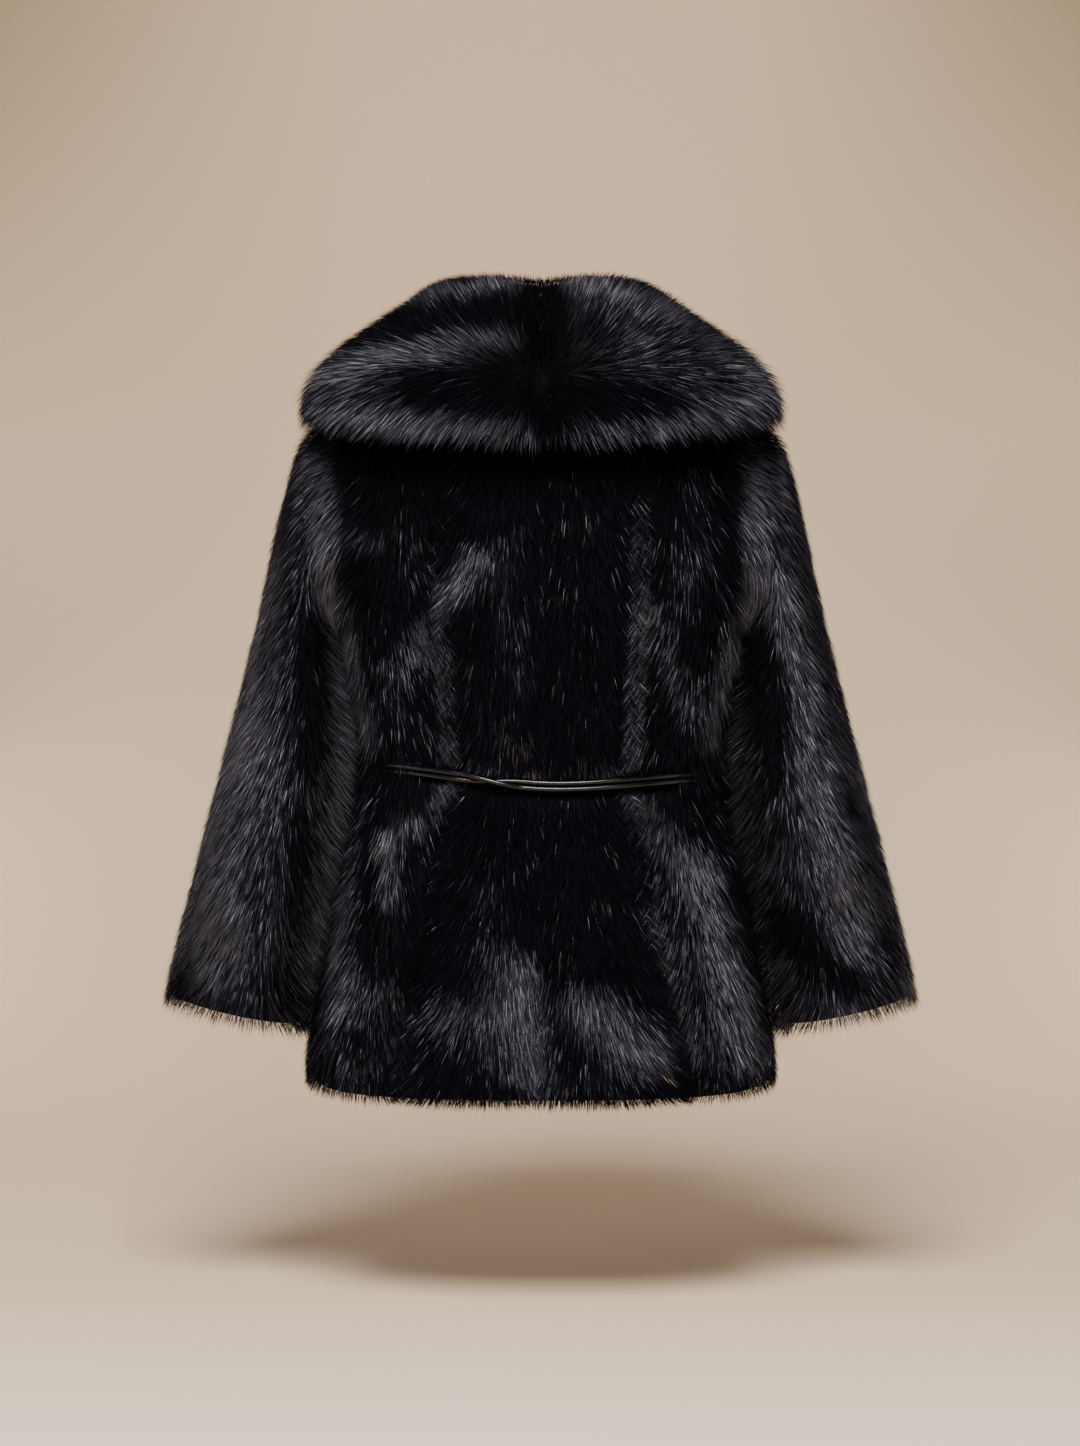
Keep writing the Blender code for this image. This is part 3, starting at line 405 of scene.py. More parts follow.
def groove_depth(level, turn):
    """How far the belt presses the fur down."""
    away = abs(level - BELT_LEVEL)
    side = smooth((abs(math.sin(math.radians(turn))) - GROOVE_TURN) / GROOVE_FADE)
    deep = GROOVE_BACK + (GROOVE_SIDE - GROOVE_BACK) * side
    return deep * smooth((GROOVE_END - away) / (GROOVE_END - GROOVE_FLAT))


def body_point(level, turn, groove=True, fold_share=1.0):
    """The outer face of the body. Turn is in degrees from the centre back, over 0 to the wearer's left."""
    size = body_level(level)
    angle = math.radians(turn)
    sine, cosine = math.sin(angle), math.cos(angle)
    face, half = (BACK, "back") if cosine > 0 else (FRONT, "front")
    depth, drop = size[half], size[f"{half}_drop"]
    reach = abs(sine / size["half_width"]) ** EVEN_SHAPE + abs(cosine / depth) ** EVEN_SHAPE
    reach **= -1 / EVEN_SHAPE
    z = level - drop * cosine**2 + belt_dip(turn) * smooth(1 - abs(level - BELT_LEVEL) / DIP_REACH)
    held = smooth((abs(level - BELT_LEVEL) - GROOVE_FLAT) / FOLD_HOLD)
    rise = fold_share * fold_rise(BODY_FOLDS, face, reach * sine, z) * smooth(abs(cosine) * 3) * held
    if groove:
        reach -= groove_depth(level, turn)
    return Vector((reach * sine, reach * cosine + face * rise, z))


def surface_normal(point, u, v, du, dv):
    """The normal of the surface that point(u, v) gives, from its slopes over du and dv."""
    across = point(u + du, v) - point(u - du, v)
    up = point(u, v + dv) - point(u, v - dv)
    return across.cross(up).normalized()


def body_normal(level, turn):
    """Outward from the body without its folds, so that a wall along it is even."""

    def plain(at_turn, at_level):
        return body_point(at_level, at_turn, groove=False, fold_share=0)

    step = 0.002
    return -surface_normal(plain, turn, min(max(level, BODY_FOOT + step), BODY_TOP - step), 0.5, step)


def body_inner(level, turn, normal=None):
    """The inner face of the body, where the folds are half as high and the belt doesn't show."""
    normal = normal or body_normal(level, turn)
    return body_point(level, turn, groove=False, fold_share=0.5) - WALL * normal


def armhole_levels(steps=ARMHOLE_STEPS):
    return [ARMHOLE_MIDDLE - ARMHOLE_HALF * math.cos(math.pi * k / steps) for k in range(steps + 1)]


def armhole_turn(level):
    """The armhole's half width at this level, in degrees round the body."""
    return ARMHOLE_TURN * math.sqrt(max(0.0, 1 - ((level - ARMHOLE_MIDDLE) / ARMHOLE_HALF) ** 2))


def armhole_normal(level, side, face):
    """Outward from the seam round the armhole, which leans out at the shoulder."""
    height = (level - ARMHOLE_MIDDLE) / ARMHOLE_HALF
    lean = 0.45 * max(height, 0.0) * side
    return Vector((lean, face * math.sqrt(max(0.0, 1 - height**2)), height)).normalized()


def body_levels():
    """The levels of the solid's points, from the hem to the neck."""
    belt = [BELT_LEVEL + offset for offset in (-GROOVE_END, -GROOVE_FLAT, GROOVE_FLAT, GROOVE_END)]
    return [*LOWER_LEVELS, *belt, *MIDDLE_LEVELS, *armhole_levels(), *SHOULDER_LEVELS]


def fine_levels():
    """The levels of the backing's points, closer than the solid's round the belt and the armhole."""
    belt = [BELT_LEVEL + offset for offset in (-0.026, -0.014, -0.008, 0, 0.008, 0.014, 0.026)]
    levels = [*LOWER_LEVELS, *belt, *MIDDLE_LEVELS, *armhole_levels(2 * ARMHOLE_STEPS), *SHOULDER_LEVELS]
    return sorted(levels + [(a + b) / 2 for a, b in zip(levels, levels[1:]) if b - a > WIDE_STEP])


def trimmed(level, turn):
    """The level of a point of the backing, which ends above the fur's hem, and higher at the sides."""
    rise = HEM_FRINGE + HEM_CORNER * abs(math.sin(math.radians(turn))) ** HEM_POWER
    return level + rise * smooth((TRIM_LEVEL - level) / TRIM_REACH)


def back_seam(level):
    """The turn of the seam between the centre back and the side back."""
    size = body_level(level)
    x = size["back_seam"]
    y = size["back"] * (1 - (abs(x) / size["half_width"]) ** EVEN_SHAPE) ** (1 / EVEN_SHAPE)
    return math.degrees(math.atan2(x, y))


def side_seam(level, face):
    """The turn of a panel's edge at the side, which opens round the armhole."""
    return 90 - face * armhole_turn(level) if ARMHOLE_FOOT < level < ARMHOLE_TOP else 90.0


def front_edge(level):
    return min(body_level(level)["front_edge"], 180.0)


def sleeve_point(side, share, angle):
    """The outer face of a sleeve. Share runs from the armhole to the cuff, and angle from its outer edge."""
    at = share * (len(SLEEVE_ROWS) - 1)
    i = min(int(at), len(SLEEVE_ROWS) - 2)
    row = dict(zip(SLEEVE_COLUMNS, curve_point(SLEEVE_ROWS, i, at - i)))
    cosine, sine = math.cos(math.radians(angle)), math.sin(math.radians(angle))
    outer = Vector((row["outer_x"], row["middle_y"], row["outer_z"]))
    inner = Vector((row["inner_x"], row["middle_y"], row["inner_z"]))
    point = (outer + inner) / 2 + (outer - inner) / 2 * cosine
    point.y += row["depth"] * sine
    face = BACK if sine > 0 else FRONT
    point.y += face * fold_rise(SLEEVE_FOLDS, face, side * point.x, point.z) * abs(sine)
    point.x *= side
    return point


def set_in_point(side, share, angle):
    """The sleeve's outer face, drawn to the armhole over its first part."""
    cosine, sine = math.cos(math.radians(angle)), math.sin(math.radians(angle))
    armhole = body_point(ARMHOLE_MIDDLE + ARMHOLE_HALF * cosine, side * (90 - ARMHOLE_TURN * sine))
    fade = smooth(1 - share / SLEEVE_SET)
    return sleeve_point(side, share, angle) + (armhole - sleeve_point(side, 0, angle)) * fade


def sleeve_normal(side, share, angle):
    def plain(at_angle, at_share):
        return set_in_point(side, at_share, at_angle)

    return surface_normal(plain, angle, min(max(share, 0.01), 0.985), 2, 0.01) * -side


def neckline():
    """(level, turn) of points along half the neckline, from the centre back to the front."""
    seam = back_seam(BODY_TOP)
    runs = [(0.0, seam, BACK_STEPS), (seam, 90.0, SIDE_STEPS), (90.0, front_edge(BODY_TOP), FRONT_STEPS)]
    stations = [(BODY_TOP, low + (high - low) * k / steps) for low, high, steps in runs for k in range(steps)]
    down = [level for level in reversed(body_levels()) if level > armhole_levels()[COLLAR_FOOT] - SNAP]
    return stations + [(level, front_edge(level)) for level in down]


def neck_shares():
    """How far along the neckline each of its points is."""
    points = [body_point(level, turn) for level, turn in neckline()]
    far = [0.0]
    for a, b in zip(points, points[1:]):
        far.append(far[-1] + (b - a).length)
    return [length / far[-1] for length in far]


def neck_rim(side, station):
    """The outer and inner points of the body's rim at a point of the neckline, and the collar's way out."""
    level, turn = station
    outer, inner = body_point(level, side * turn), body_inner(level, side * turn)
    runs = []
    if level > BODY_TOP - SNAP:
        runs.append(body_point(level, side * (turn + 1)) - body_point(level, side * (turn - 1)))
    if turn > front_edge(BODY_TOP) - SNAP:
        low, high = max(level - 0.003, BODY_FOOT), min(level + 0.003, BODY_TOP)
        runs.append(body_point(low, side * front_edge(low)) - body_point(high, side * front_edge(high)))
    away = sum((run.cross(outer - inner).normalized() for run in runs), Vector()).normalized()
    above_the_neck = Vector((0, -0.03, 0.05))
    if away.dot(above_the_neck - outer) < 0:
        away = -away
    at_corner = turn > front_edge(BODY_TOP) - SNAP and level > BODY_TOP - 0.045
    gap = away * (CORNER_GAP if at_corner else SEAM_GAP)
    return outer + gap, inner + gap, away


def bezier(a, b, c, d, t):
    return a * (1 - t) ** 3 + b * 3 * t * (1 - t) ** 2 + c * 3 * t**2 * (1 - t) + d * t**3


def collar_point(side, share, station, way):
    """The collar's fur face. Way runs from the neck seam up the stand, over the roll and down to the edge."""
    row = dict(zip(COLLAR_COLUMNS, along(COLLAR_ROWS, share)))
    neck, away = neck_rim(side, station)[1:]
    roll = Vector((side * row["roll_x"], row["roll_y"], row["roll_z"]))
    edge = Vector((side * row["edge_x"], row["edge_y"], row["edge_z"]))
    over = body_normal(station[0], side * station[1])
    over.z = 0
    over.normalize()
    rise, span = (roll - neck).length, edge - roll
    straight = (roll - neck).normalized() * smooth((LAPEL_SHARE - share) / LAPEL_FADE)
    leave = (away + straight).normalized()
    if way <= ROLL_SHARE:
        foot_pull, roll_pull = neck + leave * rise * STAND_PULLS[0], roll - over * rise * STAND_PULLS[1]
        return bezier(neck, foot_pull, roll_pull, roll, way / ROLL_SHARE)
    t = (way - ROLL_SHARE) / (1 - ROLL_SHARE)
    ahead = max(span.dot(over), LEAST_AHEAD)
    at_shoulder = smooth((share - SHOULDER_SHARE) / 0.1) * smooth((LAPEL_SHARE - share) / 0.1)
    near, far, hang = (at_back + more * at_shoulder for at_back, more in (ROLL_PULL, EDGE_PULL, EDGE_HANG))
    down = (span - over * span.dot(over) * hang).normalized()
    after_roll = roll + over * min(span.length * near, ahead)
    point = bezier(roll, after_roll, edge - down * span.length * far, edge, t)
    point.x += side * SHOULDER_FULL * at_shoulder * FULLEST * t**3 * (1 - t)
    face = BACK if point.y > -0.02 else FRONT
    return point + over * fold_rise(COLLAR_FOLDS, face, point.x, point.z) * smooth(t * 4)


def collar_wall(share, way):
    """The collar's thickness: a thin stand, and a thick fall that is thinner at the lapel's roll."""
    thin = STAND_WALL + (LAPEL_WALL - STAND_WALL) * smooth((share - 0.3) / 0.35)
    if way < ROLL_SHARE:
        return WALL + (thin - WALL) * smooth(way / ROLL_SHARE * 2.6)
    return thin + (COLLAR_WALL - thin) * smooth((way - ROLL_SHARE) / (0.80 - ROLL_SHARE))


def lay_on(tree, face, under):
    """Moves the collar's points out where its underside would be too close to the walls that it lies on."""
    first, columns = COLLAR_SPAN // 2, len(face[0])
    spots = [[(r, c)] for r in range(first, COLLAR_SPAN + 1) for c in range(columns)]
    for r in range(first, COLLAR_SPAN):
        spots += [[(r, c), (r, c + 1), (r + 1, c), (r + 1, c + 1)] for c in range(columns - 1)]
    for _ in range(3):
        for corners in spots:
            middle = sum((under[r][c] for r, c in corners), Vector()) / len(corners)
            spot, normal, _, _ = tree.find_nearest(middle)
            short = COLLAR_CLEAR - (middle - spot).dot(normal)
            if short > 0 and (middle - spot).length < CLEAR_REACH:
                for r, c in corners:
                    face[r][c] += normal * short
                    under[r][c] += normal * short


def refine(grid, times):
    """A grid of rows of vectors, with smooth curves through its points both ways."""

    def finer(rows):
        last = len(rows) - 1
        starts = [min(k // times, last - 1) for k in range(last * times + 1)]
        return [curve_point(rows, i, k / times - i) for k, i in enumerate(starts)]

    rows = finer([[v for point in row for v in point] for row in grid])
    across = [[row[3 * c : 3 * c + 3] for c in range(len(row) // 3)] for row in rows]
    return [[Vector(point) for point in finer(row)] for row in across]


def collar_faces(side, hand):
    """The collar's fur face and underside as grids, and how far along the neckline their columns are."""
    stations, shares = neckline(), neck_shares()
    last = len(stations) - 1
    ways = [r / COLLAR_SPAN for r in range(COLLAR_SPAN + 1)]
    columns = list(zip(shares, stations))
    face = [[collar_point(side, share, station, way) for share, station in columns] for way in ways]
    under = [[neck_rim(side, station)[0] for station in stations]]
    for r in range(1, COLLAR_SPAN + 1):
        low, high = r - 1, min(r + 1, COLLAR_SPAN)
        under_row = []
        for c, point in enumerate(face[r]):
            before, after = max(c - 1, 0), min(c + 1, last)
            across, down = face[r][after] - face[r][before], face[high][c] - face[low][c]
            normal = across.cross(down).normalized() * side
            rim_outer, rim_inner, _ = neck_rim(side, stations[c])
            rim = (rim_inner - rim_outer).normalized()
            normal = rim.lerp(normal, smooth(ways[r] / ROLL_SHARE)).normalized()
            if c == 0:
                normal.x = 0
                normal.normalize()
            under_row.append(point - collar_wall(shares[c], ways[r]) * normal)
        under.append(under_row)
    verts, faces = [], []
    for below in ("back", "side", "front", "sleeve"):
        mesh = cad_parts[f"{below}_{hand}"].data
        faces += [[len(verts) + v for v in polygon.vertices] for polygon in mesh.polygons]
        verts += [vert.co.copy() for vert in mesh.vertices]
    lay_on(BVHTree.FromPolygons(verts, faces), face, under)
    for row in (*face, *under):
        row[0].x = side * 0.00005
    face, under = refine(face, COLLAR_FINER), refine(under, COLLAR_FINER)
    fine_shares = [between(c / COLLAR_FINER, list(enumerate(shares))) for c in range(len(face[0]))]
    return face, under, fine_shares


# ---------------------------------------------------------------- finishes
def add_node(tree, kind, inputs=None, **settings):
    """A node, with its settings and its inputs, by name or number, set or linked."""
    node = tree.nodes.new(kind)
    for name, value in settings.items():
        setattr(node, name, value)
    for key, value in (inputs or {}).items():
        if isinstance(value, bpy.types.NodeSocket):
            tree.links.new(value, node.inputs[key])
        else:
            node.inputs[key].default_value = value
    return node


def new_material(name, **constants):
    """A material with these constants, its tree and shader, and a node for the piece's own coordinates."""
    finish = bpy.data.materials.new(name)
    finish.use_nodes = True
    tree = finish.node_tree
    shader = tree.nodes["Principled BSDF"]
    for key, value in constants.items():
        shader.inputs[key.replace("_", " ")].default_value = value
    return finish, tree, shader, add_node(tree, "ShaderNodeTexCoord").outputs["Object"]


def ramp(tree, factor, *stops):
    """A colour that goes straight between the (place, colour) stops."""
    node = add_node(tree, "ShaderNodeValToRGB", {"Fac": factor})
    elements = node.color_ramp.elements
    while len(elements) < len(stops):
        elements.new(0.5)
    for element, (at, colour) in zip(elements, stops):
        element.position = at
        element.color = (*colour, 1)
    return node.outputs["Color"]


def noise(tree, place, scale, detail, output="Fac"):
    made = add_node(tree, "ShaderNodeTexNoise", {"Vector": place, "Scale": scale, "Detail": detail})
    return made.outputs[output]


def scalar(tree, operation, a, b=0.0):
    return add_node(tree, "ShaderNodeMath", {0: a, 1: b}, operation=operation).outputs[0]


def multiplied(tree, a, b):
    """The product of two colours."""
    inputs = {"Factor": 1.0, 6: a, 7: b}
    return add_node(tree, "ShaderNodeMix", inputs, data_type="RGBA", blend_type="MULTIPLY").outputs[2]


def spread(tree, value, **limits):
    """The value, moved from its From limits to its To limits. Either may be left at 0 to 1."""
    inputs = {"Value": value} | {key.replace("_", " "): limit for key, limit in limits.items()}
    return add_node(tree, "ShaderNodeMapRange", inputs).outputs["Result"]


def bumped(tree, height, strength, distance, **normal):
    inputs = {"Strength": strength, "Distance": distance, "Height": height} | normal
    return add_node(tree, "ShaderNodeBump", inputs).outputs["Normal"]


def fur_materials():
    """Finishes for the strands: dull undercoat, black guard hair, guard hair that shines, and brown hair.
    Beside chance, the painted sheen picks the lighter, shinier finishes and the painted shade the dull
    undercoat.
    """
    made = []
    limits = (0.0, *SHADE_LIMITS, 1.0)
    for name, ((specular, roughness, tint), (dark, light)) in FUR_FINISHES.items():
        finish, tree, shader, place = new_material(
            name, Specular_IOR_Level=specular, Roughness=roughness, Specular_Tint=(*tint, 1)
        )
        shade = add_node(tree, "ShaderNodeAttribute", attribute_name="shade").outputs["Fac"]
        up = add_node(tree, "ShaderNodeAttribute", attribute_name="along").outputs["Fac"]
        low, high = limits[len(made) : len(made) + 2]
        colour = ramp(tree, shade, (low, dark), (high, light))
        root = ramp(tree, up, (0.0, (0.2, 0.2, 0.2)), (0.65, (1, 1, 1)))
        tone = ramp(tree, noise(tree, place, 45.0, 2.0), (0.35, (0.72, 0.70, 0.74)), (0.65, (1.0, 1.0, 1.0)))
        tree.links.new(multiplied(tree, multiplied(tree, colour, root), tone), shader.inputs["Base Color"])
        made.append(finish)
    return made


def backing_material():
    """The black knitted backing under the fur, with short lint."""
    finish, tree, shader, place = new_material("fur_backing", Roughness=0.85, Specular_IOR_Level=0.05)
    drawn_out = add_node(tree, "ShaderNodeMapping", {"Vector": place, "Scale": (900, 900, 90)})
    lint = noise(tree, drawn_out.outputs["Vector"], 1.0, 3.0)
    colour = ramp(tree, lint, (0.3, (0.0005, 0.0005, 0.0007)), (0.7, (0.0022, 0.0020, 0.0026)))
    tree.links.new(colour, shader.inputs["Base Color"])
    tree.links.new(bumped(tree, lint, 0.6, 0.001), shader.inputs["Normal"])
    return finish


def lining_material():
    """Black satin lining with a fine twill and soft puckers."""
    finish, tree, shader, place = new_material(
        "lining", Roughness=0.36, Specular_IOR_Level=0.5, Sheen_Weight=0.15
    )
    waves = {"Vector": place, "Scale": 420.0, "Distortion": 0.4}
    twill = add_node(tree, "ShaderNodeTexWave", waves, bands_direction="DIAGONAL").outputs["Fac"]
    colour = ramp(tree, twill, (0.0, (0.010, 0.009, 0.011)), (1.0, (0.017, 0.016, 0.019)))
    tree.links.new(colour, shader.inputs["Base Color"])
    fine = bumped(tree, twill, 0.25, 0.0003)
    puckered = bumped(tree, noise(tree, place, 26.0, 2.0), 0.5, 0.004, Normal=fine)
    tree.links.new(puckered, shader.inputs["Normal"])
    return finish


def leather_material():
    """Smooth black cord leather with a fine grain."""
    finish, tree, shader, place = new_material(
        "cord_leather", Specular_IOR_Level=0.30, Coat_Weight=0.08, Coat_Roughness=0.10
    )
    grain = add_node(tree, "ShaderNodeTexVoronoi", {"Vector": place, "Scale": 1400.0}).outputs["Distance"]
    wear = noise(tree, place, 60.0, 4.0)
    colour = ramp(tree, wear, (0.35, (0.0012, 0.0012, 0.0014)), (0.75, (0.0040, 0.0038, 0.0038)))
    tree.links.new(colour, shader.inputs["Base Color"])
    tree.links.new(spread(tree, wear, To_Min=0.16, To_Max=0.26), shader.inputs["Roughness"])
    tree.links.new(bumped(tree, grain, 0.2, 0.0002), shader.inputs["Normal"])
    return finish


# ---------------------------------------------------------------- backing shells and fur
def place_object(name, data):
    made = bpy.data.objects.new(name, data)
    bpy.context.scene.collection.objects.link(made)
    return made


def mesh_object(name, verts, faces, finishes, slots=None):
    """A smooth mesh whose faces point outwards."""
    mesh = bpy.data.meshes.new(name)
    mesh.from_pydata([tuple(v) for v in verts], [], faces)
    for finish in finishes:
        mesh.materials.append(finish)
    if slots:
        mesh.polygons.foreach_set("material_index", slots)
    bm = bmesh.new()
    bm.from_mesh(mesh)
    bmesh.ops.recalc_face_normals(bm, faces=bm.faces)
    bm.to_mesh(mesh)
    bm.free()
    mesh.shade_smooth()
    return place_object(name, mesh)


def flat(grid):
    return [value for row in grid for value in row]


class Panel:
    """A piece of the coat as grids of the same size: its two faces, and the fur rooted at each point."""

    GRIDS = ("outer", "inner", "comb", "length", "lift", "density", "depth")

    def __init__(self, name, dullness, nap, tubular=False):
        self.name, self.dullness, self.nap, self.tubular = name, dullness, nap, tubular
        for grid in self.GRIDS:
            setattr(self, grid, [])

    def add_row(self, spots):
        """Each spot of the row has a value for each of the grids, in their order."""
        for grid, values in zip(self.GRIDS, zip(*spots)):
            getattr(self, grid).append(values)

    def roots(self):
        """Where the fur is rooted. Depth is a share of ROOT_DEPTH."""
        spots = zip(flat(self.outer), flat(self.inner), flat(self.depth))
        return [outer.lerp(inner, ROOT_DEPTH * depth) for outer, inner, depth in spots]

    def steps(self):
        """How many faces the grid has down and across. A tubular one closes round."""
        return len(self.outer) - 1, len(self.outer[0]) - (0 if self.tubular else 1)

    def number(self, r, c):
        """The point in row r and column c, counted along the rows."""
        columns = len(self.outer[0])
        return r * columns + c % columns

    def quads(self):
        at, (down, across) = self.number, self.steps()
        spots = [(r, c) for r in range(down) for c in range(across)]
        return [(at(r, c), at(r, c + 1), at(r + 1, c + 1), at(r + 1, c)) for r, c in spots]

    def shell(self, finishes):
        """The closed backing: its outer face is where the fur is rooted, and its inner face the lining."""
        at, (down, across) = self.number, self.steps()
        verts = self.roots()
        count = len(verts)
        outside = self.quads()
        inside = [tuple(count + v for v in reversed(quad)) for quad in outside]
        ends = [(at(r, c), at(r, c + 1)) for r in (0, down) for c in range(across)]
        if not self.tubular:
            ends += [(at(r, c), at(r + 1, c)) for c in (0, across) for r in range(down)]
        rim = [(a, b, b + count, a + count) for a, b in ends]
        slots = [0] * len(outside) + [1] * len(inside) + [0] * len(rim)
        return mesh_object(self.name, verts + flat(self.inner), outside + inside + rim, finishes, slots)

    def bed(self):
        """The outer face alone, with what the fur on it does as attributes."""
        verts = self.roots()
        made = mesh_object(f"{self.name}_bed", verts, self.quads(), [])
        mesh = made.data
        walls = zip(flat(self.outer), flat(self.inner), mesh.vertices)
        if sum((outer - inner).dot(vert.normal) for outer, inner, vert in walls) < 0:
            mesh.flip_normals()
        comb = mesh.attributes.new("comb", "FLOAT_VECTOR", "POINT")
        comb.data.foreach_set("vector", flat(flat(self.comb)))
        # painted sheen and shade along the lines, less the panel's painted shade all over
        shine = []
        for point in verts:
            turned = fold_rise(self.nap, BACK if point.y > 0 else FRONT, point.x, point.z)
            shine.append(smooth(abs(point.y) / PAINTED_LIGHT_FADE) * turned - self.dullness)
        fur = {name: flat(getattr(self, name)) for name in ("length", "lift", "density")}
        for name, values in {"shine": shine, **fur}.items():
            mesh.attributes.new(f"fur_{name}", "FLOAT", "POINT").data.foreach_set("value", values)
        return made


def strand_object():
    """One strand of length 1 along Z and width 1 along Y, bowed towards X and pointed at both ends."""
    bow, widest = 0.075, 0.42
    verts = [(0, 0, 0), (bow, -0.5, widest), (bow, 0.5, widest), (0, 0, 1)]
    made = mesh_object("strand", verts, [(0, 2, 1), (1, 2, 3)], [])
    if made.data.polygons[0].normal.x < 0:
        made.data.flip_normals()
    up = made.data.attributes.new("along", "FLOAT", "POINT")
    up.data.foreach_set("value", [v[2] for v in verts])
    return made


class FurTree:
    """The tree that scatters strands over a bed, lays them along its comb, and joins them into one mesh."""

    def __init__(self, strand, finishes):
        self.tree = bpy.data.node_groups.new("grow_fur", "GeometryNodeTree")
        self.add_socket("Geometry", "Geometry")
        for name, value in FUR_INPUTS.items():
            self.add_socket(name, "Float").default_value = value
        self.add_socket("Seed", "Int")
        self.add_socket("Geometry", "Geometry", "OUTPUT")
        self.given = self.tree.nodes.new("NodeGroupInput").outputs
        self.place = self.add("GeometryNodeInputPosition")
        points = self.scattered()
        points = self.stored(points, "shade", self.shade(), "FLOAT")
        source = self.add("GeometryNodeObjectInfo", "Geometry", Object=strand)
        laid = {"Instance": source, "Rotation": self.rotation(), "Scale": self.size()}
        grown = self.add("GeometryNodeInstanceOnPoints", Points=points, **laid)
        real = self.add("GeometryNodeRealizeInstances", Geometry=grown)
        for name in ("outward", "comb", "fur_length", "fur_lift", "fur_density", "fur_shine"):
            real = self.add("GeometryNodeRemoveAttribute", Geometry=real, Name=name)
        dressed = self.add("GeometryNodeSetMaterial", Geometry=real, Material=finishes[0])
        # the lighter, shinier finishes go to the higher shades, and so mostly where sheen is painted
        for finish, limit in zip(finishes[1:], SHADE_LIMITS):
            over = self.scalar("GREATER_THAN", self.named("shade"), limit)
            dressed = self.add("GeometryNodeSetMaterial", Geometry=dressed, Selection=over, Material=finish)
        self.tree.links.new(dressed, self.tree.nodes.new("NodeGroupOutput").inputs["Geometry"])
        self.sockets = {s.name: s.identifier for s in self.tree.interface.items_tree if s.in_out == "INPUT"}

    def add_socket(self, name, kind, in_out="INPUT"):
        return self.tree.interface.new_socket(name, in_out=in_out, socket_type=f"NodeSocket{kind}")

    def add(self, kind, output=0, **inputs):
        return add_node(self.tree, kind, inputs).outputs[output]

    def scalar(self, operation, a, b=0.0):
        return scalar(self.tree, operation, a, b)

    def plus(self, a, b):
        return self.scalar("ADD", a, b)

    def times(self, a, b):
        return self.scalar("MULTIPLY", a, b)

    def vector(self, operation, a, b, output=0):
        made = add_node(self.tree, "ShaderNodeVectorMath", {0: a, 1: b}, operation=operation)
        return made.outputs[output]

    def scaled(self, a, factor):
        made = add_node(self.tree, "ShaderNodeVectorMath", {0: a, "Scale": factor}, operation="SCALE")
        return made.outputs[0]

    def named(self, name, kind="FLOAT"):
        made = add_node(self.tree, "GeometryNodeInputNamedAttribute", {"Name": name}, data_type=kind)
        return made.outputs[0]

    def chance(self, low, high, seed):
        """A number between low and high for each strand."""
        drawn = {2: low, 3: high, "Seed": seed}
        return add_node(self.tree, "FunctionNodeRandomValue", drawn, data_type="FLOAT").outputs[1]

    def waves(self, scale, detail=1.0):
        """Soft noise round 0."""
        return self.scalar("SUBTRACT", noise(self.tree, self.place, scale, detail), 0.5)

    def sway(self, scale, share, detail=2.0):
        """Soft noise round 0 in all three directions, times this share."""
        colour = noise(self.tree, self.place, scale, detail, "Color")
        return self.scaled(self.vector("SUBTRACT", colour, (0.5, 0.5, 0.5)), share)

    def stored(self, points, name, value, kind):
        inputs = {"Geometry": points, "Name": name, "Value": value}
        return add_node(
            self.tree, "GeometryNodeStoreNamedAttribute", inputs, data_type=kind, domain="POINT"
        ).outputs["Geometry"]

    def scattered(self):
        """The strands' roots, with the way out of the bed at each."""
        density = self.times(self.named("fur_density"), self.given["Strands"])
        points = add_node(
            self.tree,
            "GeometryNodeDistributePointsOnFaces",
            {"Mesh": self.given["Geometry"], "Seed": self.given["Seed"], "Density": density},
        ).outputs
        return self.stored(points["Points"], "outward", points["Normal"], "FLOAT_VECTOR")

    def shade(self):
        """Each strand's shade from 0 to 1, lighter where sheen is painted and darker where shade is painted,
        with brown ones in small patches.
        """
        patch = self.scalar("GREATER_THAN", noise(self.tree, self.place, BROWN_SCALE, 1.0), BROWN_PATCH)
        rare = self.plus(self.times(self.times(patch, self.given["Brown"]), BROWN_MORE), BROWN_SHARE)
        brown = self.scalar("LESS_THAN", self.chance(0.0, 1.0, 11), rare)
        # the painted sheen and shade, with random patches on top
        shine = self.plus(self.named("fur_shine"), self.times(self.waves(PATCH_SCALE), self.given["Patches"]))
        share = self.scalar("POWER", self.chance(0.0, 1.0, 12), SHADE_POWER)
        share = self.times(share, self.plus(self.times(shine, SHINE_RANGE), SHADE_RANGE))
        share = self.plus(share, self.plus(self.times(shine, SHINE_BASE), SHADE_BASE))
        stray = self.scalar("LESS_THAN", self.chance(0.0, 1.0, 13), self.given["Strays"])
        share = self.scalar("MAXIMUM", share, self.times(stray, self.chance(*STRAY_SHADES, 14)))
        return self.scalar("MAXIMUM", self.scalar("MINIMUM", share, TOP_SHADE), brown)

